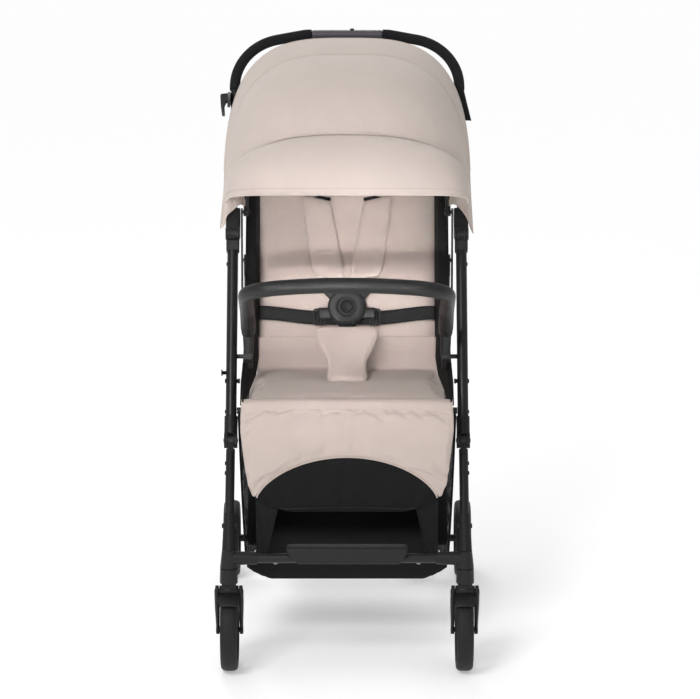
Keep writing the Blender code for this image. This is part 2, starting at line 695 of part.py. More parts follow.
def build_pedal(looks):
    """A foot pedal whose ring turns on the rear axle."""
    y, z = REAR_AXLE
    ring = across(0.0115, 0.100, 0.150, REAR_AXLE, 20)
    outline = [(y, z - 0.004), (y + 0.040, z - 0.016), (y + 0.058, z - 0.014),
               (y + 0.058, z - 0.008), (y + 0.040, z - 0.009), (y, z + 0.006)]
    tread = bevelled(plate(outline, 0.102, 0.148), 0.0015, 1)
    bore = across(0.0070 + RUNNING, 0.09, 0.16, REAR_AXLE, 18)
    place(carved(joined(ring, tread), bore), "brake_pedal", looks["plastic"], side(REAR_AXLE, 0.125))


def build_seat_frame(looks):
    """A tube round the seat, tied to the middle tubes, with a lug for the backrest at each side."""
    z = SEAT_FRAME_Z
    rear = SEAT_BACK_Y + 0.012
    middle = Vector((0.0, SEAT_FRONT_Y, z))
    corners = [
        Vector((SEAT_FRAME_X, SEAT_FRONT_Y, z)),
        Vector((SEAT_FRAME_X, rear, z)),
        Vector((-SEAT_FRAME_X, rear, z)),
        Vector((-SEAT_FRAME_X, SEAT_FRONT_Y, z)),
    ]
    path = rounded([middle, *corners, middle], 0.025, 4)[:-1]
    ring = tube(path, SEAT_FRAME_R, 3, True)
    rise = (z - KNEE[1]) / MID_UP.z
    stay = KNEE[0] + MID_UP.y * rise
    ends = FRAME_X - TUBE_R - GAP * 1.5
    middle_y, reach = (SEAT_FRONT_Y + SEAT_BACK_Y) / 2 - 0.004, SEAT_FRAME_X + 0.0013
    extras = [across(SEAT_FRAME_R - 0.0002, -reach, reach, (middle_y, z), 14)]
    for sign in (-1, 1):
        extras.append(across(0.0060, *sorted((sign * SEAT_FRAME_X, sign * ends)), (stay, z), 10))
    for sign in (-1, 1):
        a, b = sorted((sign * (SEAT_FRAME_X - 0.0035), sign * (SEAT_FRAME_X + 0.0015)))
        extras.append(across(0.0100, a, b, RECLINE_PIVOT, 18))
        y, up = RECLINE_PIVOT
        extras.append(plate([(y - 0.0094, up), (y - 0.0113, z + 0.0007), (y + 0.0057, z + 0.0007), (y + 0.0093, up)], a + 0.0009, b - 0.0007))
        extras.append(across(0.0030, *sorted((sign * 0.1385, sign * SEAT_FRAME_X)), RECLINE_PIVOT, 12))
    place(joined(ring, *extras), "seat_frame", looks["steel"])


def build_back_frame(looks):
    """The backrest's bent tube, with an eye at each foot."""
    foot = side(RECLINE_PIVOT)
    low = [foot + BACK_UP * 0.0075 + Vector((sign * BACK_FRAME_X, 0, 0)) for sign in (-1, 1)]
    high = [foot + BACK_UP * BACK_HEIGHT + Vector((sign * BACK_FRAME_X, 0, 0)) for sign in (-1, 1)]
    hoop = tube(rounded([low[0], high[0], high[1], low[1]], 0.040, 4), BACK_FRAME_R, 3)
    brace = tube([(low[0] + high[0]) / 2, (low[1] + high[1]) / 2], BACK_FRAME_R, 3)
    eyes = [
        across(0.0088, *sorted((sign * (BACK_FRAME_X - 0.0040), sign * (BACK_FRAME_X + 0.0040))),
               RECLINE_PIVOT, 14)
        for sign in (-1, 1)
    ]
    bores = [
        across(0.0030 + RUNNING, *sorted((sign * 0.13, sign * 0.16)), RECLINE_PIVOT, 12)
        for sign in (-1, 1)
    ]
    frame = carved(joined(hoop, brace, *eyes), *bores)
    place(frame, "backrest_frame", looks["steel"], foot)


def bumper_path():
    foot = side(BUMPER_PIVOT) + Vector((0, -0.006, 0.052))
    front = side(BUMPER_FRONT)
    corners = [
        Vector((-BUMPER_X, foot.y, foot.z)),
        Vector((-BUMPER_X, foot.y - 0.045, foot.z + 0.044)),
        Vector((-BUMPER_X, front.y + 0.002, front.z - 0.006)),
        Vector((BUMPER_X, front.y + 0.002, front.z - 0.006)),
        Vector((BUMPER_X, foot.y - 0.045, foot.z + 0.044)),
        Vector((BUMPER_X, foot.y, foot.z)),
    ]
    return rounded(corners, 0.048, 5)


def build_bumper(looks):
    """A padded bar that plugs into a bracket at each side."""
    path = bumper_path()
    start = along(path[1], path[0])
    bar = tube(path, BUMPER_R, 3)
    place(bar, "bumper_bar", looks["leather"], side(BUMPER_PIVOT))
    for name, sign in SIDES.items():
        top = Vector((sign * BUMPER_X, path[0].y, path[0].z)) + start * GAP * 1.5
        collar = cylinder(0.0125, top, top + start * 0.012, 14)
        body = cylinder(0.0105, top + start * 0.010, side(BUMPER_PIVOT, sign * BUMPER_X), 16, 0.0085)
        y, z = BUMPER_PIVOT
        inner, outer = BUMPER_X - 0.0072, BUMPER_X + 0.0092
        eye = across(0.0110, *sorted((sign * inner, sign * outer)), BUMPER_PIVOT, 20)
        tail = plate([(y - 0.008, z), (y - 0.003, z - 0.022), (y + 0.009, z - 0.022), (y + 0.010, z)],
                     *sorted((sign * inner, sign * (inner + 0.009))))
        bore = across(BUMPER_PIN_R + RUNNING, *sorted((sign * (inner + 0.003), sign * (outer + 0.01))),
                      BUMPER_PIVOT, 14)
        bracket = carved(joined(collar, body, eye, tail), bore)
        place(bracket, f"bumper_bracket_{name}", looks["plastic"], side(BUMPER_PIVOT, sign * BUMPER_X))


def soft_block(cuts, mapping):
    """A smooth closed form: a rounded cube's grid, moved by a function of its unit coordinates."""
    form = bmesh.new()
    bmesh.ops.create_cube(form, size=2.0)
    bmesh.ops.subdivide_edges(form, edges=form.edges, cuts=cuts, use_grid_fill=True)
    obj = from_bmesh("soft", form)
    smooth = obj.modifiers.new("smooth", "SUBSURF")
    smooth.levels = 1
    smooth.render_levels = 1
    made = settled(obj)
    reach = max(vert.co.x for vert in made.data.vertices)
    for vert in made.data.vertices:
        vert.co = mapping(*(vert.co / reach))
    return settled(made)


def crown(a, b):
    """How full a cushion is at (a, b) of its face: 1 in the middle, 0 at the rim."""
    return (1 - abs(a) ** 3) * (1 - abs(b) ** 3)


def drawn_in(a, b, amount):
    """A side pulled in between its corners."""
    return a * (1 - amount * (1 - b * b) * abs(a))


def build_seat(looks):
    middle_y = (SEAT_FRONT_Y - 0.0080 + SEAT_BACK_Y) / 2
    half_y = (SEAT_BACK_Y - SEAT_FRONT_Y + 0.0080) / 2
    low = SEAT_FRAME_Z + SEAT_FRAME_R + GAP
    high = SEAT_TOP_Z

    def seat(a, b, c):
        full = crown(a, b)
        middle = (low + high) / 2 - 0.001
        up = (high - middle) * (0.62 + 0.38 * full)
        down = middle - low
        x = SEAT_HALF_WIDTH * drawn_in(a, b, 0.03)
        return Vector((x, middle_y + half_y * drawn_in(b, a, 0.02), middle + (up if c > 0 else down) * c))

    place(soft_block(3, seat), "seat_pad", looks["beige"])

    top = Vector((0, 0.0840, 0.4555))
    foot = side(CALF_FOOT)
    down = along(top, foot)
    ahead = Vector((0, down.z, -down.y))
    length = (foot - top).length

    def calf(a, b, c):
        share = (1 - b) / 2
        width = SEAT_HALF_WIDTH + 0.011 * min(1.0, share * 6) - 0.024 * share**1.5
        width *= 1 - 0.05 * max(0.0, share - 0.85) / 0.15
        full = (1 - abs(a) ** 4) * (1 - abs(b) ** 4)
        bulge = 0.5 + 0.5 * full
        bow = ahead * (0.004 * math.sin(math.pi * share))
        return top + down * length * share + bow + ahead * (CALF_THICK / 2 * c * bulge) + Vector((a * width, 0, 0))

    place(soft_block(2, calf), "calf_rest", looks["beige"], top)


def back_point(x, up, front):
    """A place on the backrest: across it, up it, and in front of its frame's axis."""
    return side(RECLINE_PIVOT, x) + BACK_UP * up + BACK_FRONT * front


PAD_BACK = BACK_FRAME_R + SLACK
PAD_FRONT = PAD_BACK + BACK_THICK
PAD_FOOT = 0.034
BUCKLE_UP = 0.1238
BUCKLE_R = 0.0352
BELT_UP = 0.1056
BELT_HALF = 0.0130


def build_backrest(looks):
    height = BACK_HEIGHT + 0.010

    def back(a, b, c):
        full = crown(a, b)
        middle = (PAD_BACK + PAD_FRONT) / 2
        reach = BACK_THICK / 2 * (1.0 if c < 0 else 0.55 + 0.45 * full)
        up = PAD_FOOT + (height - PAD_FOOT) * (b + 1) / 2
        return back_point(BACK_HALF_WIDTH * drawn_in(a, b, 0.03), up, middle + reach * c)

    place(soft_block(3, back), "backrest_pad", looks["beige"], side(RECLINE_PIVOT))
    for name, sign in SIDES.items():

        def pad(a, b, c, sign=sign):
            share = (b + 1) / 2
            width = 0.0305 - 0.0045 * share
            x = sign * (0.0330 + 0.0230 * share) + a * width
            thick = 0.0045 * (0.6 + 0.4 * (1 - a**4) * (1 - b**4))
            skew = sign * a * 0.006
            return back_point(x, 0.1780 + 0.195 * share + skew, PAD_FRONT + SLACK * 0.6 + 0.0045 + thick * c)

        place(soft_block(2, pad), f"shoulder_pad_{name}", looks["beige"], side(RECLINE_PIVOT))


def build_harness(looks):
    foot = Vector((0, 0.2010, SEAT_TOP_Z + 0.0014))
    head = Vector((0, 0.2870, 0.5500))
    rise = along(foot, head)
    ahead = Vector((0, -rise.z, rise.y))
    length = (head - foot).length

    def crotch(a, b, c):
        share = (b + 1) / 2
        width = 0.0385 - 0.0035 * math.sin(math.pi * min(1.0, share * 1.6)) + 0.0180 * max(0.0, share - 0.45) / 0.55
        thick = 0.0055 * (0.55 + 0.45 * (1 - a**4) * (1 - b**4))
        sag = -0.006 * math.sin(math.pi * share)
        return foot + rise * (length * share) + ahead * (sag + thick * c) + Vector((a * width, 0, 0))

    place(soft_block(2, crotch), "crotch_pad", looks["beige"])

    front = PAD_FRONT - 0.0011 + SLACK * 0.6
    belt = []
    for up in (BELT_UP - BELT_HALF, BELT_UP + BELT_HALF):
        for out in (front, front + CLOTH):
            belt.append(back_point(0, up, out))
    outline = [tuple(belt[i].yz) for i in (0, 1, 3, 2)]
    place(plate(outline, -0.150, 0.150), "waist_belt", looks["black cloth"])

    back = front + CLOTH + SLACK * 0.6
    centre = back_point(0, BUCKLE_UP, 0)
    disc = cylinder(BUCKLE_R, centre + BACK_FRONT * back, centre + BACK_FRONT * (back + 0.012), 28, BUCKLE_R - 0.003)
    wings = plate(
        [tuple(back_point(0, BELT_UP - 0.011, back).yz), tuple(back_point(0, BELT_UP - 0.011, back + 0.006).yz),
         tuple(back_point(0, BELT_UP + 0.011, back + 0.006).yz), tuple(back_point(0, BELT_UP + 0.011, back).yz)],
        -0.052,
        0.052,
    )
    low = centre - BACK_UP * (BUCKLE_R - 0.004)
    tongue = box((-0.0125, -0.0025, -0.016), (0.0125, 0.0025, 0.0))
    turn = along(low, low - BACK_UP).to_track_quat("-Z", "Y").to_matrix().to_4x4()
    tongue.data.transform(Matrix.Translation(low + BACK_FRONT * (back + 0.006)) @ turn)
    well = cylinder(0.0105, centre + BACK_FRONT * (back + 0.0060), centre + BACK_FRONT * (back + 0.02), 24)
    place(carved(joined(disc, wings, tongue), well), "buckle", looks["plastic"])
    button = cylinder(0.0100, centre + BACK_FRONT * (back + 0.0088), centre + BACK_FRONT * (back + 0.0140), 24, 0.0092)
    place(button, "buckle_button", looks["plastic"], centre + BACK_FRONT * (back + 0.014))


# Canopy lines: lean of the plane, radius, half width and squareness
BOW_R = 0.0023
CANOPY_GAP = 0.0005
REAR_BOW = (11.0, 0.2820, 0.1855, 2.6)
FRONT_BOW = (-39.5, 0.2280, 0.1800, 2.6)
HANDLE_EDGE = (32.0, 0.3220, 0.1880, 3.0)
REAR_EDGE = (11.0, 0.2820 + BOW_R + CLOTH / 2 + CANOPY_GAP, 0.2040, 2.6)
FRONT_EDGE = (-39.5, 0.2280 + BOW_R + CLOTH / 2 + CANOPY_GAP, 0.2110, 2.6)
VISOR_EDGE = (-70.5, 0.2600, 0.2080, 7.0)


def bow_point(line, share):
    """A point on an arch over the canopy's pivot line, from left to right."""
    angle, radius, half, power = line
    turn = math.pi * (1 - share)
    x = math.copysign(abs(math.cos(turn)) ** (2 / power), math.cos(turn)) * half
    height = radius * max(0.0, math.sin(turn)) ** (2 / power)
    return side(CANOPY_PIVOT, x) + lean(angle) * height


def build_bow(looks, name, line):
    steps = 16
    path = [bow_point(line, 0.0)] + [bow_point(line, 0.006)]
    path += [bow_point(line, 0.03 + 0.94 * i / steps) for i in range(steps + 1)]
    path += [bow_point(line, 0.994), bow_point(line, 1.0)]
    hoop = tube(path, BOW_R, 2)
    half = line[2]
    eyes = [
        across(0.0075, *sorted((s * (half - BOW_R), s * (half + BOW_R))), CANOPY_PIVOT, 14) for s in (-1, 1)
    ]
    bores = [
        across(PIN_R + RUNNING, *sorted((s * (half - 0.01), s * (half + 0.01))), CANOPY_PIVOT, 12)
        for s in (-1, 1)
    ]
    place(carved(joined(hoop, *eyes), *bores), name, looks["steel"], side(CANOPY_PIVOT))


def canopy_panel(looks, name, back, front, bulge, apart=0.25):
    """A curved sheet from one arch to the next, a little full between them."""
    columns, rows = 16, 3
    form = bmesh.new()
    bmesh.ops.create_grid(form, x_segments=columns, y_segments=rows, size=1.0)
    for vert in form.verts:
        across_share, row = (vert.co.x + 1) / 2, (vert.co.y + 1) / 2
        share = 0.035 + 0.93 * across_share
        start, end = back[0] - apart, front[0] + apart
        line = (
            start + (end - start) * row,
            back[1] + (front[1] - back[1]) * row + bulge * math.sin(math.pi * row),
            back[2] + (front[2] - back[2]) * row,
            back[3] + (front[3] - back[3]) * row,
        )
        vert.co = bow_point(line, share)
    obj = from_bmesh(name, form)
    shell = obj.modifiers.new("cloth", "SOLIDIFY")
    shell.thickness = CLOTH
    shell.offset = 0.0
    place(settled(obj), name, looks["beige"], side(CANOPY_PIVOT))


def build_canopy(looks):
    build_bow(looks, "canopy_rear_bow", REAR_BOW)
    build_bow(looks, "canopy_front_bow", FRONT_BOW)
    canopy_panel(looks, "canopy_back", HANDLE_EDGE, REAR_EDGE, 0.006)
    canopy_panel(looks, "canopy_top", REAR_EDGE, FRONT_EDGE, 0.030)
    canopy_panel(looks, "visor", FRONT_EDGE, VISOR_EDGE, 0.012)


def build_basket(looks):
    """A cloth tray under the seat: low lips at the front and back, sides up to the seat frame."""
    hem = SEAT_FRAME_Z - SEAT_FRAME_R - GAP
    floor, lip = BASKET_FLOOR_Z, BASKET_LIP_Z
    front, rear = BASKET_FRONT_Y, BASKET_REAR_Y
    outline = [(front + 0.014, floor), (rear - 0.020, floor), (rear, floor + 0.030),
               (rear + 0.004, lip + 0.060), (0.318, hem), (0.165, hem), (front, lip), (front + 0.002, floor + 0.014)]
    outer = plate(outline, -BASKET_X, BASKET_X)
    wall = BASKET_WALL
    inside = [(front + 0.014 + wall, floor + wall), (rear - 0.020 - wall, floor + wall),
              (rear - wall, floor + 0.030 + wall), (rear + 0.004 - wall, lip + 0.060 + 0.001),
              (rear + 0.06, lip + 0.060 + 0.001), (rear + 0.06, hem + 0.05), (0.06, hem + 0.05),
              (0.06, lip + 0.001), (front + wall, lip + 0.001), (front + 0.002 + wall, floor + 0.014 + wall)]
    hollow = plate(inside, -BASKET_X + wall, BASKET_X - wall)
    place(carved(outer, hollow), "basket", looks["black cloth"])


def build_tag(looks):
    outline = in_line(HANDLE_FOOT, HANDLE_UP, HANDLE_FRONT,
                      [(0.226, 0.0075), (0.288, 0.0075), (0.288, 0.0091), (0.226, 0.0091)])
    place(plate(outline, FRAME_X - 0.0075, FRAME_X + 0.0115), "handle_tag", looks["black cloth"])


def main():
    looks = {
        "steel": material("painted_steel", STEEL),
        "plastic": material("moulded_plastic", PLASTIC),
        "foam": material("grip_foam", FOAM),
        "rubber": material("tyre_rubber", RUBBER),
        "cover": material("centre_cover", COVER),
        "leather": material("bar_leather", LEATHER),
        "beige": material("beige_cloth", BEIGE),
        "black cloth": material("black_cloth", BLACK_CLOTH),
    }
    build_handle(looks)
    build_tag(looks)
    build_middle(looks)
    build_front_legs(looks)
    build_casters(looks)
    build_rear(looks)
    build_seat_frame(looks)
    build_back_frame(looks)
    build_bumper(looks)
    build_seat(looks)
    build_backrest(looks)
    build_harness(looks)
    build_canopy(looks)
    build_basket(looks)


clear_scene()
PARTS = collection("stroller")
main()
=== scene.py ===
"""Looks for a compact stroller: cloth, foam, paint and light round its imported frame."""

from __future__ import annotations

import json
import logging
import math
from collections.abc import Callable, Iterable, Sequence
from dataclasses import dataclass, field
from enum import Enum

import bmesh
import bpy
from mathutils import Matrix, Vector, noise

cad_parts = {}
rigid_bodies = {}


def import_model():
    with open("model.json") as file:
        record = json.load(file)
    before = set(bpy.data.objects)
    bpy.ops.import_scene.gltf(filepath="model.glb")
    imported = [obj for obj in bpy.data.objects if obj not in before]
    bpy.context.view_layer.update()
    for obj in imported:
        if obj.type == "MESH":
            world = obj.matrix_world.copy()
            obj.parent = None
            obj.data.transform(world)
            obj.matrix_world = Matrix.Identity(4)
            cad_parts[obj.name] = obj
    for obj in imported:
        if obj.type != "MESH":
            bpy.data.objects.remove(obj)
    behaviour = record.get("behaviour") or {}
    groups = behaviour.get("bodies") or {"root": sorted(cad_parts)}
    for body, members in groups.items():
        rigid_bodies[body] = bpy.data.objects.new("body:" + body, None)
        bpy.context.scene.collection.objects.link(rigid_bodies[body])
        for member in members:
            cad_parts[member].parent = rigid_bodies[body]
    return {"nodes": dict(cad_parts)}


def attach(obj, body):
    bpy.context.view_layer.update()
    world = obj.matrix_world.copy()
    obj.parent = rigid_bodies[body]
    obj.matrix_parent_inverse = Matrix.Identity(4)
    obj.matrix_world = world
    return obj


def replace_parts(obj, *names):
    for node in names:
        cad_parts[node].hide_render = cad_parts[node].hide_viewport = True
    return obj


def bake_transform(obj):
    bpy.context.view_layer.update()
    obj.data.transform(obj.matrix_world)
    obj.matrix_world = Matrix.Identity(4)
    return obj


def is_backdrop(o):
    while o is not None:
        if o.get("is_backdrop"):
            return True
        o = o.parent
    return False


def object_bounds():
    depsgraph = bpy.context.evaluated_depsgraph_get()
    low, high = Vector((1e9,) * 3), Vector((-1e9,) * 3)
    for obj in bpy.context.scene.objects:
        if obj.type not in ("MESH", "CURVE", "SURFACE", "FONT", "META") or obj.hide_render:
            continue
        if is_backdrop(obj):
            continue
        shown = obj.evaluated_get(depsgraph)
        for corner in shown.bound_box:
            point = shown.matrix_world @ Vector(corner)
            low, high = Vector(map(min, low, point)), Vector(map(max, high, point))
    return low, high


LOG = logging.getLogger("stroller")

Route = Sequence[Vector]
Color = tuple[float, float, float]
Placer = Callable[[float, float], Vector]

HALF_BASE = 0.2725
FRAME_X = 0.206
TUBE_R = 0.0098
HANDLE_TUBE_R = 0.0072
GRIP_R = 0.0097
COVER_R = 0.0088
COVER_HALF = 0.0645
WHEEL_R = 0.0725
REAR_WHEEL_X = 0.220
BUMPER_R = 0.0133
BUMPER_X = 0.1758
SEAT_TOP = 0.468


class Body(str, Enum):
    """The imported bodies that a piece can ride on."""

    MAIN = "main_frame"
    HANDLE = "handle"
    FRONT_LEGS = "front_legs"
    BACKREST = "backrest"
    BUMPER = "bumper"
    BUTTON = "buckle_button"
    CANOPY_REAR = "canopy_rear"
    CANOPY_FRONT = "canopy_front"
    VISOR = "visor"


class Side(Enum):
    """Left and right as the photograph shows them."""

    LEFT = -1
    RIGHT = 1

    @property
    def label(self) -> str:
        """The side's word in node names."""
        return self.name.lower()


def side(y: float, z: float, x: float = 0.0) -> Vector:
    """Give a place from a side view whose y is measured back from the front axle.

    Args:
        y: Distance behind the front axle, in metres.
        z: Height above the floor, in metres.
        x: Place across the stroller, in metres.

    Returns:
        The place in the row frame.
    """
    return Vector((x, y - HALF_BASE, z))


def lean(degrees: float) -> Vector:
    """Give the direction that leans back from upright by an angle.

    Args:
        degrees: The lean, in degrees.

    Returns:
        A unit vector in the middle plane.
    """
    turn = math.radians(degrees)
    return Vector((0.0, math.sin(turn), math.cos(turn)))


def ahead_of(up: Vector) -> Vector:
    """Give the direction square to a side-view line, towards the front.

    Args:
        up: A unit vector in the middle plane.

    Returns:
        The unit vector a quarter turn ahead of it.
    """
    return Vector((0.0, -up.z, up.y))


def smooth(value: float, low: float = 0.0, high: float = 1.0) -> float:
    """Ease from 0 to 1 between two values.

    Args:
        value: Where to read the ease.
        low: Where it leaves 0.
        high: Where it reaches 1.

    Returns:
        The eased share.
    """
    share = min(1.0, max(0.0, (value - low) / (high - low)))
    return share * share * (3 - 2 * share)


KNEE = side(0.130, 0.381)
UPPER_JOINT = side(0.330, 0.708)
MID_UP = (UPPER_JOINT - KNEE).normalized()
HANDLE_UP = lean(35.0)
HANDLE_FRONT = ahead_of(HANDLE_UP)
HANDLE_FOOT = UPPER_JOINT + ahead_of(MID_UP) * 0.0145 - HANDLE_FRONT * 0.0145
HANDLE_TOP = HANDLE_FOOT + HANDLE_UP * 0.405
SWIVEL = side(-0.022, 0.2106)
REAR_AXLE = side(0.545, WHEEL_R)
RECLINE = side(0.318, 0.446)
BACK_UP = lean(24.0)
BACK_FRONT = ahead_of(BACK_UP)
CANOPY_PIVOT = side(0.365, 0.745)
BUMPER_UP = 0.156
BUMPER_PIVOT = KNEE + MID_UP * BUMPER_UP
ACROSS = Vector((1, 0, 0))
FORK_BARREL = side(-0.022, 0.152)
FRONT_AXLE = side(0.0, WHEEL_R)
FORK_ARM_X = 0.0208
TYRE_WIDEN = 1.2
GRIP_FOOT = 0.292
HANDLE_BEND_FOOT = 0.020
HOOK_UP = 0.274
TAG_UP = 0.257
STUD_DOWN = 0.258
SPOKES = 5


class Shade:
    """A shader value that plain operators combine."""

    def __init__(self, tree: bpy.types.NodeTree, out: bpy.types.NodeSocket) -> None:
        """Wrap an output socket.

        Args:
            tree: The node tree that holds it.
            out: The socket.
        """
        self.tree = tree
        self.out = out

    def feed(self, slot: bpy.types.NodeSocket) -> None:
        """Link this value into a socket.

        Args:
            slot: The input to feed.
        """
        self.tree.links.new(self.out, slot)

    def math(self, operation: str, *others: Shade | float) -> Shade:
        """Combine this value with others.

        Args:
            operation: The Math node's operation.
            *others: The other inputs, as values or numbers.

        Returns:
            The result as a new value.
        """
        node = self.tree.nodes.new("ShaderNodeMath")
        node.operation = operation
        for slot, value in zip(node.inputs, (self, *others)):
            if isinstance(value, Shade):
                value.feed(slot)
            else:
                slot.default_value = value
        return Shade(self.tree, node.outputs[0])

    def __add__(self, other: Shade | float) -> Shade:
        """Add."""
        return self.math("ADD", other)

    def __sub__(self, other: Shade | float) -> Shade:
        """Subtract."""
        return self.math("SUBTRACT", other)

    def __mul__(self, other: Shade | float) -> Shade:
        """Multiply."""
        return self.math("MULTIPLY", other)

    def wave(self, pitch: float) -> Shade:
        """Give a sine of this value, from -1 to 1.

        Args:
            pitch: The length of one wave.

        Returns:
            The sine.
        """
        return (self * (2 * math.pi / pitch)).math("SINE")


class Weave(Enum):
    """How the threads of a cloth cross."""

    NONE = 0
    PLAIN = 1
    RIB = 2
    NET = 3


@dataclass(frozen=True)
class Finish:
    """What a surface looks like.

    Attributes:
        color: Base colour, linear.
        roughness: Mean roughness.
        coat: Weight of a clear coat.
        specular: Strength of the reflection at normal incidence.
        sheen: Strength of a cloth's soft edge light.
        grain: Size of the surface's grain, in metres.
        relief: Height of the grain, in metres.
        weave: How the threads cross.
        pitch: Distance between threads, in metres.
        mottle: How far the colour wanders, as a share.
        metallic: Metallic share.
    """

    color: Color
    roughness: float
    coat: float = 0.0
    specular: float = 0.5
    sheen: float = 0.0
    grain: float = 0.0015
    relief: float = 0.00005
    weave: Weave = Weave.NONE
    pitch: float = 0.0011
    mottle: float = 0.05
    metallic: float = 0.0


class Look(Enum):
    """Every surface of the stroller."""

    CANOPY = Finish((0.590, 0.512, 0.462), 0.88, specular=0.25, sheen=0.15, weave=Weave.PLAIN, mottle=0.04)
    SEAT = Finish((0.575, 0.484, 0.435), 0.88, specular=0.25, sheen=0.15, weave=Weave.PLAIN, mottle=0.05)
    # Stitching thread: beige, but darker than the thread itself, as painted shade so that each seam shows as
    # a dark line.
    BEIGE_THREAD = Finish((0.400, 0.335, 0.300), 0.80, specular=0.3, grain=0.0006)
    DARK_CLOTH = Finish((0.0095, 0.0095, 0.010), 0.90, specular=0.2, weave=Weave.PLAIN, mottle=0.10)
    DARK_NET = Finish((0.010, 0.010, 0.0105), 0.85, specular=0.2, weave=Weave.NET, pitch=0.0034)
    DARK_THREAD = Finish((0.050, 0.050, 0.052), 0.70, specular=0.3, grain=0.0006)
    STRAP = Finish((0.012, 0.012, 0.013), 0.75, specular=0.3, weave=Weave.RIB, pitch=0.0018)
    TUBE = Finish((0.009, 0.009, 0.0097), 0.38, coat=0.08, specular=0.32, grain=0.0022, relief=0.00003)
    CASTING = Finish((0.009, 0.009, 0.0095), 0.52, specular=0.32, grain=0.0009, relief=0.00006)
    PLASTIC = Finish((0.012, 0.012, 0.0127), 0.46, specular=0.45, grain=0.0009, relief=0.00005)
    FOAM = Finish((0.013, 0.013, 0.0145), 0.92, specular=0.25, grain=0.0010, relief=0.00022)
    COVER = Finish((0.085, 0.078, 0.092), 0.45, specular=0.45, grain=0.0008, relief=0.00004)
    RUBBER = Finish((0.011, 0.011, 0.0115), 0.62, specular=0.3, grain=0.0012, relief=0.00008)
    LEATHER = Finish((0.011, 0.011, 0.0117), 0.46, specular=0.38, grain=0.0019, relief=0.00016, mottle=0.08)
    METAL = Finish((0.30, 0.30, 0.31), 0.35, specular=0.5, metallic=1.0, grain=0.0010)
    FOOTREST = Finish((0.009, 0.009, 0.0095), 0.50, specular=0.35, grain=0.0010, relief=0.00010)


def coordinate(tree: bpy.types.NodeTree, name: str) -> bpy.types.NodeSocket:
    """Give one output of a Texture Coordinate node.

    Args:
        tree: The node tree.
        name: The output's name.

    Returns:
        The socket.
    """
    return tree.nodes.new("ShaderNodeTexCoord").outputs[name]


def noise_value(tree: bpy.types.NodeTree, size: float, detail: float = 3.0) -> Shade:
    """Make a noise from 0 to 1 that is fixed to the object.

    Args:
        tree: The node tree.
        size: The noise's feature size, in metres.
        detail: How many finer octaves it holds.

    Returns:
        The noise's value.
    """
    node = tree.nodes.new("ShaderNodeTexNoise")
    tree.links.new(coordinate(tree, "Object"), node.inputs["Vector"])
    node.inputs["Scale"].default_value = 1.0 / size
    node.inputs["Detail"].default_value = detail
    return Shade(tree, node.outputs[0])


def threads(tree: bpy.types.NodeTree, finish: Finish) -> Shade:
    """Make the height of a cloth's threads from its place on the flat cloth.

    Args:
        tree: The node tree.
        finish: The cloth.

    Returns:
        A height from about -1 to 1.
    """
    parts = tree.nodes.new("ShaderNodeSeparateXYZ")
    tree.links.new(coordinate(tree, "UV"), parts.inputs[0])
    u, v = Shade(tree, parts.outputs[0]), Shade(tree, parts.outputs[1])
    if finish.weave is Weave.RIB:
        return v.wave(finish.pitch) * 0.7 + u.wave(finish.pitch * 1.7) * 0.3
    return u.wave(finish.pitch) * v.wave(finish.pitch)


def material(look: Look) -> bpy.types.Material:
    """Give the material of a look, made the first time it is asked for.

    Args:
        look: The surface.

    Returns:
        Its material.
    """
    name = look.name.lower()
    known = bpy.data.materials.get(name)
    if known:
        return known
    finish = look.value
    made = bpy.data.materials.new(name)
    made.use_nodes = True
    tree = made.node_tree
    surface = tree.nodes["Principled BSDF"]
    for slot, value in (
        ("Metallic", finish.metallic), ("Specular IOR Level", finish.specular),
        ("Coat Weight", finish.coat), ("Sheen Weight", finish.sheen), ("Sheen Roughness", 0.6),
    ):
        surface.inputs[slot].default_value = value
    cloudy = noise_value(tree, 0.045)
    tint = tree.nodes.new("ShaderNodeMix")
    tint.data_type = "RGBA"
    dark = tuple(channel * (1 - finish.mottle) for channel in finish.color)
    light = tuple(min(1.0, channel * (1 + finish.mottle)) for channel in finish.color)
    tint.inputs["A"].default_value = (*dark, 1.0)
    tint.inputs["B"].default_value = (*light, 1.0)
    cloudy.feed(tint.inputs["Factor"])
    tree.links.new(tint.outputs["Result"], surface.inputs["Base Color"])
    (noise_value(tree, 0.012) * 0.16 + (finish.roughness - 0.08)).feed(surface.inputs["Roughness"])
    height = noise_value(tree, finish.grain, 2.0) * finish.relief
    if finish.weave is not Weave.NONE:
        height = height + threads(tree, finish) * 0.00005
    if finish.weave is Weave.NET:
        open_share = threads(tree, finish).math("GREATER_THAN", 0.40)
        (open_share * -0.72 + 1.0).feed(surface.inputs["Alpha"])
    bump = tree.nodes.new("ShaderNodeBump")
    bump.inputs["Distance"].default_value = 1.0
    bump.inputs["Strength"].default_value = 0.9
    height.feed(bump.inputs["Height"])
    tree.links.new(bump.outputs[0], surface.inputs["Normal"])
    made.diffuse_color = (*finish.color, 1.0)
    return made


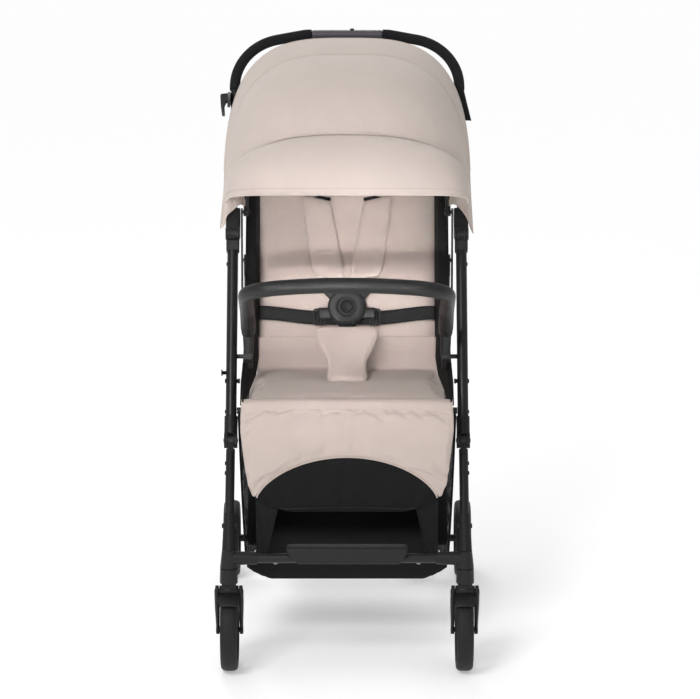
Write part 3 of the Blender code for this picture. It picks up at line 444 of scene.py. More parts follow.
@dataclass
class Shape:
    """A mesh under construction, with each corner's place on its flat cloth.

    Attributes:
        points: The vertices.
        faces: Each face as vertex indices.
        flat: Each face's corners on the cloth, in metres.
    """

    points: list[Vector] = field(default_factory=list)
    faces: list[tuple[int, ...]] = field(default_factory=list)
    flat: list[tuple[tuple[float, float], ...]] = field(default_factory=list)

    def face(self, corners: Sequence[int], places: Sequence[tuple[float, float]]) -> None:
        """Add a face.

        Args:
            corners: Its vertex indices.
            places: Each corner's place on the cloth.
        """
        self.faces.append(tuple(corners))
        self.flat.append(tuple(places))

    def grid(self, columns: int, rows: int, place: Placer, size: tuple[float, float]) -> None:
        """Add a grid of quads over the unit square.

        Args:
            columns: Cells across.
            rows: Cells along.
            place: Gives a point from its shares across and along.
            size: Width and length of the cloth, in metres.
        """
        start = len(self.points)
        for j in range(rows + 1):
            for i in range(columns + 1):
                self.points.append(place(i / columns, j / rows))
        for j in range(rows):
            for i in range(columns):
                a = start + j * (columns + 1) + i
                spots = [(i, j), (i + 1, j), (i + 1, j + 1), (i, j + 1)]
                places = [(s / columns * size[0], t / rows * size[1]) for s, t in spots]
                self.face((a, a + 1, a + columns + 2, a + columns + 1), places)

    def made(self, name: str, look: Look) -> bpy.types.Object:
        """Finish the mesh as an object.

        Args:
            name: The piece's name.
            look: Its surface.

        Returns:
            The object, at the origin.
        """
        mesh = bpy.data.meshes.new(name)
        mesh.from_pydata([tuple(p) for p in self.points], [], self.faces)
        layer = mesh.uv_layers.new(name="cloth")
        spots = iter(spot for places in self.flat for spot in places)
        for loop, spot in zip(layer.data, spots):
            loop.uv = spot
        return finished(name, mesh, look)


def finished(name: str, mesh: bpy.types.Mesh, look: Look) -> bpy.types.Object:
    """Make an object of a mesh, smooth shaded and with outward normals.

    Args:
        name: The piece's name.
        mesh: Its mesh.
        look: Its surface.

    Returns:
        The object, at the origin.
    """
    form = bmesh.new()
    form.from_mesh(mesh)
    bmesh.ops.recalc_face_normals(form, faces=form.faces)
    form.to_mesh(mesh)
    form.free()
    for polygon in mesh.polygons:
        polygon.use_smooth = True
    mesh.materials.clear()
    mesh.materials.append(material(look))
    mesh.name = name
    obj = bpy.data.objects.new(name, mesh)
    bpy.context.scene.collection.objects.link(obj)
    return obj


def realised(obj: bpy.types.Object, look: Look) -> bpy.types.Object:
    """Turn an object with modifiers into a plain mesh object of the same name.

    Args:
        obj: The object.
        look: Its surface.

    Returns:
        The new object.
    """
    bpy.context.view_layer.update()
    graph = bpy.context.evaluated_depsgraph_get()
    mesh = bpy.data.meshes.new_from_object(obj.evaluated_get(graph))
    name = obj.name
    bpy.data.objects.remove(obj, do_unlink=True)
    return finished(name, mesh, look)


def joined(name: str, pieces: Iterable[bpy.types.Object], look: Look) -> bpy.types.Object:
    """Join objects into one mesh.

    Args:
        name: The new piece's name.
        pieces: The objects, which are removed.
        look: The surface of the whole.

    Returns:
        The joined object.
    """
    form = bmesh.new()
    for piece in list(pieces):
        form.from_mesh(piece.data)
        bpy.data.objects.remove(piece, do_unlink=True)
    mesh = bpy.data.meshes.new(name)
    form.to_mesh(mesh)
    form.free()
    return finished(name, mesh, look)


def thick(obj: bpy.types.Object, look: Look, depth: float, offset: float = 0.0) -> bpy.types.Object:
    """Give a single surface the thickness of cloth.

    Args:
        obj: The surface.
        look: Its surface.
        depth: The thickness, in metres.
        offset: Where the surface lies in it, from -1 to 1.

    Returns:
        The thickened object.
    """
    shell = obj.modifiers.new("thick", "SOLIDIFY")
    shell.thickness = depth
    shell.offset = offset
    return realised(obj, look)


def spans(route: Route) -> list[float]:
    """Give the distance along a route at each of its points.

    Args:
        route: The route.

    Returns:
        One distance per point, starting at 0.
    """
    reach = [0.0]
    for a, b in zip(route, route[1:]):
        reach.append(reach[-1] + (b - a).length)
    return reach


def resampled(route: Route, step: float) -> list[Vector]:
    """Put even points on a route.

    Args:
        route: The route.
        step: The distance between points, in metres.

    Returns:
        The new points, both ends included.
    """
    reach = spans(route)
    count = max(1, round(reach[-1] / step))
    made, segment = [], 0
    for i in range(count + 1):
        here = reach[-1] * i / count
        while segment < len(reach) - 2 and reach[segment + 1] < here:
            segment += 1
        width = reach[segment + 1] - reach[segment]
        share = (here - reach[segment]) / width if width > 1e-9 else 0.0
        made.append(route[segment].lerp(route[segment + 1], min(1.0, share)))
    return made


def on_line(line: Route, share: float) -> Vector:
    """Give the place at a share of an evenly sampled line.

    Args:
        line: The line.
        share: From 0 at its start to 1 at its end.

    Returns:
        The place.
    """
    spot = share * (len(line) - 1)
    k = min(len(line) - 2, int(spot))
    return line[k].lerp(line[k + 1], spot - k)


def edge_of(place: Placer, along: float, count: int) -> list[Vector]:
    """Give even places across a surface.

    Args:
        place: The surface.
        along: The share along it.
        count: Steps across it.

    Returns:
        The places, both ends included.
    """
    return [place(i / count, along) for i in range(count + 1)]


def mirrored(half: Route) -> list[Vector]:
    """Add the right half to the left half of a route.

    Args:
        half: The left half, ending at the middle.

    Returns:
        The whole route.
    """
    return [*half, *(Vector((-p.x, p.y, p.z)) for p in reversed(half))]


def rounded(corners: Route, radius: float, steps: int = 12) -> list[Vector]:
    """Bend an open route to a radius at each inner corner.

    Args:
        corners: The corners, ends included.
        radius: The bend's radius, in metres.
        steps: Points per bend.

    Returns:
        The bent route.
    """
    route = [corners[0]]
    for before, here, after in zip(corners, corners[1:], corners[2:]):
        back, on = (before - here).normalized(), (after - here).normalized()
        half = back.angle(on) / 2
        middle = here + (back + on).normalized() * (radius / math.sin(half))
        first = here + back * (radius / math.tan(half)) - middle
        last = here + on * (radius / math.tan(half)) - middle
        sweep = first.angle(last)
        for i in range(steps + 1):
            share = i / steps
            weights = math.sin((1 - share) * sweep), math.sin(share * sweep)
            route.append(middle + (first * weights[0] + last * weights[1]) / math.sin(sweep))
    route.append(corners[-1])
    return route


def swept(
    name: str,
    route: Route,
    look: Look,
    radius: float | Callable[[float], float],
    sides: int = 24,
    dome: float = 0.35,
    up: Vector | None = None,
    flat: float = 1.0,
) -> bpy.types.Object:
    """Sweep a round or oval section along a route, with softened ends.

    Args:
        name: The piece's name.
        route: The centreline.
        look: The surface.
        radius: The radius, or a function of the distance along the route.
        sides: Points round the section.
        dome: Length of the softened ends, in radii.
        up: The section's second axis, where it is not round.
        flat: Ratio of the section's second radius to its first.

    Returns:
        The swept object.
    """
    reach = spans(route)
    size = radius if callable(radius) else lambda _: radius
    shape = Shape()
    rings: list[tuple[Vector, float, float]] = []
    start, end = size(0.0), size(reach[-1])
    turns = [math.radians(a) for a in (8, 35, 62)] if dome else []
    first, last = (route[1] - route[0]).normalized(), (route[-1] - route[-2]).normalized()
    for a in turns:
        cut = 1 - math.sin(a)
        rings.append((route[0] + first * (dome * start * cut), start * (1 - dome * cut), 0.0))
    inner = list(zip(route, reach))[1:-1] if dome else list(zip(route, reach))
    if dome:
        rings.append((route[0] + first * (dome * start), start, 0.0))
        inner = [(p, r) for p, r in inner if dome * start * 1.2 < r < reach[-1] - dome * end * 1.2]
    rings += [(p, size(r), r) for p, r in inner]
    if dome:
        rings.append((route[-1] - last * (dome * end), end, reach[-1]))
        for a in reversed(turns):
            cut = 1 - math.sin(a)
            rings.append((route[-1] - last * (dome * end * cut), end * (1 - dome * cut), reach[-1]))
    for spot in (0, -1):
        centre, ring, at = rings[spot]
        rings.insert(0 if spot == 0 else len(rings), (centre, ring * 0.02, at))
    tangent = first
    normal = (up or (Vector((0, 0, 1)) if abs(first.z) < 0.9 else Vector((1, 0, 0)))).copy()
    normal = (normal - tangent * normal.dot(tangent)).normalized()
    centres = [ring[0] for ring in rings]
    for k, (centre, ring, at) in enumerate(rings):
        ahead = centres[min(k + 1, len(rings) - 1)] - centres[max(k - 1, 0)]
        if ahead.length > 1e-7:
            tangent = ahead.normalized()
        normal = (normal - tangent * normal.dot(tangent)).normalized()
        across = tangent.cross(normal)
        for i in range(sides):
            turn = 2 * math.pi * i / sides
            off = across * (math.cos(turn) * ring) + normal * (math.sin(turn) * ring * flat)
            shape.points.append(centre + off)
    girth = 2 * math.pi * max(start, end)
    for k in range(len(rings) - 1):
        v0, v1 = rings[k][2], rings[k + 1][2]
        for i in range(sides):
            a, b = k * sides + i, k * sides + (i + 1) % sides
            u0, u1 = i / sides * girth, (i + 1) / sides * girth
            shape.face((a, b, b + sides, a + sides), ((u0, v0), (u1, v0), (u1, v1), (u0, v1)))
    for k, turn in ((0, -1), (len(rings) - 1, 1)):
        loop = list(range(k * sides, (k + 1) * sides))[::turn]
        shape.face(loop, [(0.0, 0.0)] * sides)
    return shape.made(name, look)


def turned(
    name: str, look: Look, centre: Vector, axis: Vector, profile: Sequence[tuple[float, float]],
    sides: int = 48
) -> bpy.types.Object:
    """Turn a closed or axis-to-axis profile about an axis.

    Args:
        name: The piece's name.
        look: The surface.
        centre: A point on the axis.
        axis: The axis.
        profile: Pairs of distance along the axis and radius.
        sides: Points round the turn.

    Returns:
        The turned object.
    """
    axis = axis.normalized()
    across = axis.orthogonal().normalized()
    other = axis.cross(across)
    shape = Shape()
    for along, ring in profile:
        for i in range(sides):
            turn = 2 * math.pi * i / sides
            out = across * math.cos(turn) + other * math.sin(turn)
            shape.points.append(centre + axis * along + out * max(ring, 1e-5))
    for k in range(len(profile) - 1):
        for i in range(sides):
            a, b = k * sides + i, k * sides + (i + 1) % sides
            spots = ((i / sides, k), (i / sides, k), (i / sides, k + 1), (i / sides, k + 1))
            shape.face((a, b, b + sides, a + sides), spots)
    return shape.made(name, look)


def closed(half: Sequence[tuple[float, float]]) -> list[tuple[float, float]]:
    """Mirror half a profile about its middle and close it.

    Args:
        half: Pairs of place along the axis and radius, up to the middle.

    Returns:
        The closed ring, for turned().
    """
    return [*half, *((-a, r) for a, r in reversed(half)), half[0]]


def dome_head(
    name: str, look: Look, centre: Vector, axis: Vector, radius: float, height: float
) -> bpy.types.Object:
    """Make a low domed head, such as a rivet's.

    Args:
        name: The piece's name.
        look: The surface.
        centre: The middle of its foot.
        axis: The way it stands out.
        radius: Its radius.
        height: Its height.

    Returns:
        The head.
    """
    profile = [(-0.0004, 0.0), (-0.0004, radius), (height * 0.35, radius)]
    profile += [(height * (0.35 + 0.65 * math.sin(a)), radius * math.cos(a)) for a in (0.4, 0.8, 1.2, 1.5)]
    profile.append((height, 0.0))
    return turned(name, look, centre, axis, profile, 20)


def slab(name: str, look: Look, outline: Route, depth: Vector, ease: float) -> bpy.types.Object:
    """Make a moulded plate with rounded edges.

    Args:
        name: The piece's name.
        look: Its surface.
        outline: Its corners in one plane, in order.
        depth: From the first face to the other.
        ease: Radius of its edges, in metres.

    Returns:
        The piece.
    """
    count = len(outline)
    mesh = bpy.data.meshes.new(name)
    corners = [*outline, *(p + depth for p in outline)]
    sides = [(k, (k + 1) % count, count + (k + 1) % count, count + k) for k in range(count)]
    mesh.from_pydata(corners, [], [tuple(reversed(range(count))), tuple(range(count, 2 * count)), *sides])
    made = finished(name, mesh, look)
    round_off = made.modifiers.new("round", "BEVEL")
    round_off.width, round_off.segments, round_off.limit_method = ease, 5, "ANGLE"
    round_off.angle_limit = math.radians(12)
    return realised(made, look)


def repeated(name: str, route: Route, item: bpy.types.Object, step: float, look: Look) -> bpy.types.Object:
    """Set copies of an item along a route, each turned to follow it.

    Args:
        name: The piece's name.
        route: The line.
        item: What is repeated, along +X at the origin. It is removed.
        step: The distance between copies, in metres.
        look: The surface.

    Returns:
        One mesh with every copy.
    """
    curve = bpy.data.curves.new(name, "CURVE")
    curve.dimensions = "3D"
    spline = curve.splines.new("POLY")
    spline.points.add(len(route) - 1)
    for point, at in zip(spline.points, route):
        point.co = (*at, 1.0)
    line = bpy.data.objects.new(name, curve)
    bpy.context.scene.collection.objects.link(line)
    tree = bpy.data.node_groups.new("repeat", "GeometryNodeTree")
    for way in ("INPUT", "OUTPUT"):
        tree.interface.new_socket("Geometry", in_out=way, socket_type="NodeSocketGeometry")
    nodes = tree.nodes
    source, target = nodes.new("NodeGroupInput"), nodes.new("NodeGroupOutput")
    even = nodes.new("GeometryNodeResampleCurve")
    even.mode = "LENGTH"
    even.inputs["Length"].default_value = step
    info = nodes.new("GeometryNodeObjectInfo")
    info.inputs["Object"].default_value = item
    copies = nodes.new("GeometryNodeInstanceOnPoints")
    turn = nodes.new("FunctionNodeAlignRotationToVector")
    turn.axis = "X"
    tangent = nodes.new("GeometryNodeInputTangent")
    real = nodes.new("GeometryNodeRealizeInstances")
    for outlet, inlet in (
        (source.outputs[0], even.inputs[0]), (even.outputs[0], copies.inputs["Points"]),
        (info.outputs["Geometry"], copies.inputs["Instance"]), (tangent.outputs[0], turn.inputs["Vector"]),
        (turn.outputs[0], copies.inputs["Rotation"]), (copies.outputs[0], real.inputs[0]),
        (real.outputs[0], target.inputs[0]),
    ):
        tree.links.new(outlet, inlet)
    line.modifiers.new("repeat", "NODES").node_group = tree
    made = realised(line, look)
    bpy.data.objects.remove(item, do_unlink=True)
    bpy.data.node_groups.remove(tree)
    return made


def stitches(
    name: str, route: Route, look: Look, body: Body, length: float = 0.0030, radius: float = 0.00042
) -> bpy.types.Object:
    """Sew a line of thread stitches along a route.

    Args:
        name: The piece's name.
        route: The seam.
        look: The thread.
        body: What the seam rides on.
        length: One stitch's length, in metres.
        radius: The thread's radius, in metres.

    Returns:
        The stitches.
    """
    bow = [Vector((length * (i / 4 - 0.5), 0, 0)) for i in range(5)]
    thread = swept("thread", bow, look, radius, 6, dome=0.8)
    made = repeated(name, route, thread, length * 1.45, look)
    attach(made, body.value)
    return made


@dataclass
class Pad:
    """A stuffed piece cut as a rounded rectangle and laid on a curved middle surface.

    Attributes:
        name: The piece's name.
        look: Its cloth.
        body: What it rides on.
        half: Half its width and half its length, in metres.
        corner: Its corners' radius.
        depth: Its full thickness.
        middle: Gives the middle surface from a place on the flat cloth.
        seams: Sewn lines on the flat cloth, as lists of places.
        groove: How deep a seam sinks.
        ripple: Height of the cloth's own unevenness.
        cells: Grid cells across and along.
        fill: How full it is, from 0 to 1; not used.
        swell: The farthest that the stuffing pushes the cloth.
        flat_back: Whether the rear face keeps still.
    """

    name: str
    look: Look
    body: Body
    half: tuple[float, float]
    corner: float
    depth: float
    middle: Placer
    seams: Sequence[Sequence[tuple[float, float]]] = ()
    groove: float = 0.0028
    ripple: float = 0.0007
    cells: tuple[int, int] = (56, 56)
    fill: float = 0.6
    swell: float = 0.004
    flat_back: bool = True

    def spot(self, u: float, v: float) -> tuple[float, float]:
        """Map the square to the rounded rectangle.

        Args:
            u: Place across, from -1 to 1.
            v: Place along, from -1 to 1.

        Returns:
            The place on the flat cloth, in metres.
        """
        ring = max(abs(u), abs(v))
        if ring < 1e-9:
            return 0.0, 0.0
        x, y = u / ring * self.half[0], v / ring * self.half[1]
        inner = [half - self.corner for half in self.half]
        cx = max(-inner[0], min(inner[0], x))
        cy = max(-inner[1], min(inner[1], y))
        reach = math.hypot(x - cx, y - cy)
        if reach > self.corner:
            x, y = cx + (x - cx) * self.corner / reach, cy + (y - cy) * self.corner / reach
        return x * ring, y * ring

    def normal(self, x: float, y: float) -> Vector:
        """Give the middle surface's normal, towards the sitter.

        Args:
            x: Place across the cloth.
            y: Place along the cloth.

        Returns:
            The unit normal.
        """
        step = 0.002
        across = self.middle(x + step, y) - self.middle(x - step, y)
        along = self.middle(x, y + step) - self.middle(x, y - step)
        return across.cross(along).normalized()

    def sunk(self, x: float, y: float) -> float:
        """Give how far a place is drawn in by the nearest seam.

        Args:
            x: Place across the cloth.
            y: Place along the cloth.

        Returns:
            A share from 0 to 1.
        """
        here, best = Vector((x, y)), 1.0
        for seam in self.seams:
            for a, b in zip(seam, seam[1:]):
                start, line = Vector(a), Vector(b) - Vector(a)
                share = max(0.0, min(1.0, (here - start).dot(line) / line.length_squared))
                best = min(best, (here - start - line * share).length)
        return math.exp(-((best / 0.0042) ** 2)) if best < 0.02 else 0.0

    def front(self, x: float, y: float, lift: float = 0.0) -> Vector:
        """Give a place on the front face before it swells.

        Args:
            x: Place across the cloth.
            y: Place along the cloth.
            lift: Distance above the face.

        Returns:
            The place in the row frame.
        """
        edge = min(self.half[0] - abs(x), self.half[1] - abs(y))
        rise = self.depth / 2 * self.bulge(edge) - self.groove * self.sunk(x, y)
        return self.middle(x, y) + self.normal(x, y) * (rise + lift)

    def bulge(self, edge: float) -> float:
        """Give the thickness near the rim as a share of the full one.

        Args:
            edge: Distance in from the rim, in metres.

        Returns:
            The share.
        """
        reach = min(1.0, max(0.0, edge) / (self.depth * 0.85))
        return math.sqrt(max(0.0, 1 - (1 - reach) ** 2))

    def build(self) -> bpy.types.Object:
        """Make the pad, with its seams sewn and its stuffing pushing out.

        Returns:
            The pad.
        """
        columns, rows = self.cells
        shape = Shape()
        index: dict[tuple[int, int, int], int] = {}
        held: list[int] = []
        for layer in (1, -1):
            for j in range(rows + 1):
                for i in range(columns + 1):
                    rim = i in (0, columns) or j in (0, rows)
                    if rim and layer < 0:
                        index[i, j, layer] = index[i, j, 1]
                        continue
                    s, t = 2 * i / columns - 1, 2 * j / rows - 1
                    u, v = s * (1.35 - 0.35 * s * s), t * (1.35 - 0.35 * t * t)
                    x, y = self.spot(u, v)
                    edge = (1 - max(abs(u), abs(v))) * min(self.half)
                    rise = self.depth / 2 * self.bulge(edge)
                    sunk = self.sunk(x, y) if layer > 0 else 0.0
                    rise -= self.groove * sunk
                    middle, normal = self.middle(x, y), self.normal(x, y)
                    if layer > 0:
                        rise += self.ripple * noise.noise(middle * 24.0) * min(1.0, edge / 0.02)
                    index[i, j, layer] = len(shape.points)
                    if rim or sunk > 0.5 or (layer < 0 and self.flat_back):
                        held.append(len(shape.points))
                    shape.points.append(middle + normal * (rise * layer))
            for j in range(rows):
                for i in range(columns):
                    corners = [(i, j), (i + 1, j), (i + 1, j + 1), (i, j + 1)][::layer]
                    places = [
                        (a / columns * 2 * self.half[0], b / rows * 2 * self.half[1]) for a, b in corners
                    ]
                    shape.face([index[a, b, layer] for a, b in corners], places)
        made = shape.made(self.name, self.look)
        made = swollen(made, self.look, held, self.swell)
        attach(made, self.body.value)
        return made


def swollen(obj: bpy.types.Object, look: Look, held: Sequence[int], reach: float) -> bpy.types.Object:
    """Let stuffing push a closed cloth out between its seams, by simulation.

    Args:
        obj: The cloth.
        look: Its surface.
        held: Vertices that the seams hold still.
        reach: The farthest that a point may move, in metres.

    Returns:
        The stuffed object.
    """
    if reach <= 0:
        return obj
    rest = [vertex.co.copy() for vertex in obj.data.vertices]
    group = obj.vertex_groups.new(name="held")
    group.add(list(held), 1.0, "REPLACE")
    cloth = obj.modifiers.new("stuffing", "CLOTH")
    rule = cloth.settings
    rule.quality = 5
    rule.mass = 0.25
    rule.tension_stiffness = rule.compression_stiffness = 12.0
    rule.shear_stiffness = 5.0
    rule.bending_stiffness = 0.35
    rule.use_pressure = True
    rule.uniform_pressure_force = 4.0
    rule.shrink_min = -0.035
    rule.vertex_group_mass = "held"
    rule.effector_weights.gravity = 0.0
    cloth.collision_settings.use_collision = False
    cloth.point_cache.frame_start, cloth.point_cache.frame_end = 1, 20
    scene = bpy.context.scene
    for frame in range(1, 21):
        scene.frame_set(frame)
    graph = bpy.context.evaluated_depsgraph_get()
    mesh = bpy.data.meshes.new_from_object(obj.evaluated_get(graph))
    for vertex, start in zip(mesh.vertices, rest):
        shift = vertex.co - start
        if shift.length > reach:
            vertex.co = start + shift * (reach / shift.length)
    name = obj.name
    bpy.data.objects.remove(obj, do_unlink=True)
    scene.frame_set(1)
    LOG.info("%s is stuffed", name)
    return finished(name, mesh, look)


@dataclass
class Cloth:
    """A sheet sewn to a curved surface.

    Attributes:
        name: The piece's name.
        look: Its cloth.
        body: What it rides on.
        place: Gives its surface from shares across and along.
        cells: Grid cells across and along.
        rests: The CAD nodes it lies on or hangs from.
        held: How it is held; not used.
        depth: Its thickness, in metres.
        bend: Another body and two places on the sheet; when it is given, the sheet keeps its place and is
            attached to no body.
    """

    name: str
    look: Look
    body: Body
    place: Placer
    cells: tuple[int, int]
    rests: Sequence[str] = ()
    held: str = "stretched"
    depth: float = 0.0012
    bend: tuple[Body, Vector, Vector] | None = None

    def measure(self) -> tuple[float, float, float]:
        """Measure the flat cloth.

        Returns:
            Its greatest width, its greatest length and its area.
        """
        columns, rows = self.cells
        grid = [[self.place(i / columns, j / rows) for i in range(columns + 1)] for j in range(rows + 1)]
        width = max(spans(row)[-1] for row in grid)
        length = max(spans([row[i] for row in grid])[-1] for i in range(columns + 1))
        area = 0.0
        for low, high in zip(grid, grid[1:]):
            for a, b, c, d in zip(low, low[1:], high[1:], high):
                area += ((b - a).cross(c - a).length + (c - a).cross(d - a).length) / 2
        return width, length, area

    def build(self, with_pieces: Sequence[bpy.types.Object] = ()) -> bpy.types.Object:
        """Make the sheet.

        Args:
            with_pieces: Separate pieces sewn to it; not used.

        Returns:
            The sheet.
        """
        width, length, area = self.measure()
        shape = Shape()
        shape.grid(*self.cells, self.place, (width, length))
        made = thick(shape.made(self.name, self.look), self.look, self.depth)
        if self.bend:
            other, start, end = self.bend
            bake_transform(made)
            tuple(start)
            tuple(end)
        else:
            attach(made, self.body.value)
        room = width * length
        list(self.rests)
        max(min(area, room), 0.3 * room)
        return made


@dataclass(frozen=True)
class Arch:
    """One arch of the canopy over its pivot line.

    Attributes:
        lean: Lean of its plane from upright, in degrees.
        radius: Its height, in metres.
        half: Half its width.
        power: How square it is; 2 is an ellipse.
    """

    lean: float
    radius: float
    half: float
    power: float

    def at(self, share: float) -> Vector:
        """Give a place on the arch.

        Args:
            share: From 0 at its left foot to 1 at its right foot.

        Returns:
            The place in the row frame.
        """
        turn = math.pi * (1 - share)
        x = math.copysign(abs(math.cos(turn)) ** (2 / self.power), math.cos(turn)) * self.half
        height = self.radius * max(0.0, math.sin(turn)) ** (2 / self.power)
        return Vector((x, CANOPY_PIVOT.y, CANOPY_PIVOT.z)) + lean(self.lean) * height

    def moved(self, turn: float, out: float = 0.0) -> Arch:
        """Give this arch leaned on and grown.

        Args:
            turn: Added lean, in degrees.
            out: Added radius and half width, in metres.

        Returns:
            The moved arch.
        """
        return Arch(self.lean + turn, self.radius + out, self.half + out, self.power)

    def toward(self, other: Arch, share: float, full: float = 0.0) -> Arch:
        """Give an arch between this one and another.

        Args:
            other: The other arch.
            share: From 0 here to 1 at the other.
            full: How far the cloth stands out between them, in metres.

        Returns:
            The arch between.
        """
        out = full * math.sin(math.pi * share)
        values = [
            a + (b - a) * share
            for a, b in (
                (self.lean, other.lean),
                (self.radius, other.radius),
                (self.half, other.half),
                (self.power, other.power),
            )
        ]
        return Arch(values[0], values[1] + out, values[2] + out * 0.6, values[3])


class Canopy:
    """The hood: a rear panel, a top panel and a visor over two bows."""

    HANDLE = Arch(27.0, 0.3297, 0.2232, 3.25)
    REAR = Arch(10.2, 0.2850, 0.2179, 3.04)
    FRONT = Arch(-42.06, 0.2307, 0.2153, 2.74)
    EDGE = Arch(-71.57, 0.2603, 0.2139, 8.17)
    REAR_BOW = Arch(11.0, 0.2820, 0.1855, 2.6)
    FRONT_BOW = Arch(-39.5, 0.2280, 0.1800, 2.6)

    @staticmethod
    def folds(place: Vector, share: float, height: float) -> Vector:
        """Ruffle the cloth a little, most towards its feet.

        Args:
            place: The smooth place.
            share: Where it is across the arch.
            height: Height of the folds, in metres.

        Returns:
            The ruffled place.
        """
        foot = 1 - smooth(min(share, 1 - share), 0.02, 0.24)
        out = place - CANOPY_PIVOT
        turn = math.degrees(math.atan2(-out.y, out.z))
        wave = math.sin(turn * 0.42 + 1.7 * noise.noise(place * 9.0)) * foot
        wave += 0.55 * noise.noise(place * 15.0) + 0.25 * noise.noise(place * 38.0)
        push = Vector((math.copysign(1.0, place.x) * abs(place.x) / 0.2, out.y, out.z * 0.6)).normalized()
        return place + push * (height * wave)

    def panel(
        self, name: str, look: Look, body: Body, arches: tuple[Arch, Arch], full: float, folds: float,
        rows: int, rests: Sequence[str]
    ) -> Cloth:
        """Describe a panel between two arches.

        Args:
            name: The piece's name.
            look: Its cloth.
            body: What it rides on.
            arches: Its rear and front arch.
            full: How far it stands out between them.
            folds: Height of its folds.
            rows: Cells along.
            rests: The nodes under it.

        Returns:
            The sheet.
        """
        back, front = arches

        def place(across: float, along: float) -> Vector:
            share = 0.030 + 0.94 * across
            arch = back.toward(front, along, full)
            edge = min(1.0, 4 * min(along, 1 - along) + 0.12)
            return self.folds(arch.at(share), share, folds * edge)

        return Cloth(name, look, body, place, (110, rows), rests)

    def trim(
        self, name: str, arch: Arch, body: Body, radius: float, look: Look, reach: float = 0.030
    ) -> bpy.types.Object:
        """Sew a round piping along an arch.

        Args:
            name: The piece's name.
            arch: The arch.
            body: What it rides on.
            radius: The piping's radius.
            look: Its cloth.
            reach: Share of the arch left bare at each foot.

        Returns:
            The piping.
        """
        route = resampled([arch.at(reach + (1 - 2 * reach) * i / 160) for i in range(161)], 0.006)
        made = swept(name, route, look, radius, 10)
        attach(made, body.value)
        return made

    def build(self) -> None:
        """Make the hood."""
        rear, front = self.REAR, self.FRONT
        hem = self.trim("canopy_rear_hem", self.HANDLE, Body.CANOPY_REAR, 0.0019, Look.CANOPY)
        back = self.panel(
            "canopy_rear_cloth", Look.CANOPY, Body.CANOPY_REAR, (self.HANDLE, rear.moved(0.2)), 0.001,
            0.0026, 22, ["canopy_rear_bow"]
        )
        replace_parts(back.build([hem]), "canopy_back")
        seam = self.trim("canopy_top_seam", rear.moved(-0.2, 0.0004), Body.CANOPY_FRONT, 0.0013, Look.CANOPY)
        piping = self.trim("canopy_piping", front.moved(0.2, 0.0012), Body.CANOPY_FRONT, 0.0017, Look.CANOPY)
        sewn_on = rear.toward(front, 0.045, 0.003).moved(0.0, 0.0006)
        line = resampled([sewn_on.at(0.04 + 0.92 * i / 160) for i in range(161)], 0.004)
        sewn = stitches("canopy_top_stitches", line, Look.BEIGE_THREAD, Body.CANOPY_FRONT)
        top = self.panel(
            "canopy_top_cloth", Look.CANOPY, Body.CANOPY_FRONT, (rear.moved(-0.3), front.moved(0.3)), 0.003,
            0.0024, 44, ["canopy_front_bow"]
        )
        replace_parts(top.build([seam, piping, sewn]), "canopy_top")
        self.visor()
        self.bows()
        for place in Side:
            self.flap(place)

    def visor(self) -> None:
        """Make the stiffened visor with its bound and stitched front edge."""
        start, end = self.FRONT.moved(-0.3), self.EDGE
        binding = self.trim("visor_binding", end, Body.VISOR, 0.0018, Look.CANOPY)
        line = [start.toward(end, 0.925, 0.006).at(0.045 + 0.91 * i / 160) for i in range(161)]
        raised = [p + Vector((0, -0.0008, 0.0012)) for p in resampled(line, 0.004)]
        sewn = stitches("visor_stitches", raised, Look.BEIGE_THREAD, Body.VISOR)
        cloth = self.panel(
            "visor_cloth", Look.CANOPY, Body.VISOR, (start, end), 0.006, 0.0022, 34, ["canopy_front_bow"]
        )
        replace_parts(cloth.build([binding, sewn]), "visor")

    def bows(self) -> None:
        """Make the two flat-footed wire bows."""
        for name, arch, body in (
            ("canopy_rear_bow", self.REAR_BOW, Body.CANOPY_REAR),
            ("canopy_front_bow", self.FRONT_BOW, Body.CANOPY_FRONT),
        ):
            route = resampled([arch.at(0.02 + 0.96 * i / 200) for i in range(201)], 0.005)
            route = [arch.at(0.0), *route, arch.at(1.0)]
            made = swept(f"{name}_wire", route, Look.TUBE, 0.0023, 12)
            ring = closed([(-0.0023, 0.004), (-0.0023, 0.0072)])
            eyes = [turned("eye", Look.TUBE, arch.at(foot), ACROSS, ring, 28) for foot in (0.0, 1.0)]
            wire = joined(f"{name}_wire", [made, *eyes], Look.TUBE)
            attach(wire, body.value)
            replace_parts(wire, name)

    def flap(self, place: Side) -> None:
        """Hang the cloth end that wraps the handle over the upper joint.

        Args:
            place: Which side it is on.
        """
        x = place.value * FRAME_X
        tilt, bow, full = (0.0225, 0.0075, 1.0) if place is Side.LEFT else (0.0275, 0.0125, 0.35)

        def cloth(across: float, along: float) -> Vector:
            turn = math.radians(-82 + 164 * across) * place.value
            outward = math.sin(math.radians(-82 + 164 * across))
            low = 0.045 - tilt * outward - bow * outward**2
            gather = 0.0025 * math.sin(across * 17.0 + along * 3.0) * full * smooth(along, 0.1, 0.7)
            out = 0.0165 + 0.0045 * along + gather
            middle = HANDLE_FOOT + HANDLE_UP * (0.165 + (low - 0.165) * along) + Vector((x, 0, 0))
            return middle + HANDLE_FRONT * (out * math.cos(turn)) + Vector((out * math.sin(turn), 0, 0))

        hem = swept(f"canopy_flap_hem_{place.label}", edge_of(cloth, 1.0, 40), Look.CANOPY, 0.0011, 8)
        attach(hem, Body.HANDLE.value)
        foot = HANDLE_FOOT + Vector((x, 0, 0))
        line = [p + (p - foot).normalized() * 0.0004 for p in edge_of(cloth, 0.88, 40)]
        sewn = stitches(f"canopy_flap_stitches_{place.label}", line, Look.BEIGE_THREAD, Body.HANDLE)
        Cloth(
            f"canopy_flap_{place.label}", Look.CANOPY, Body.HANDLE, cloth, (36, 26), ["handle_tube"], "hung"
        ).build([hem, sewn])


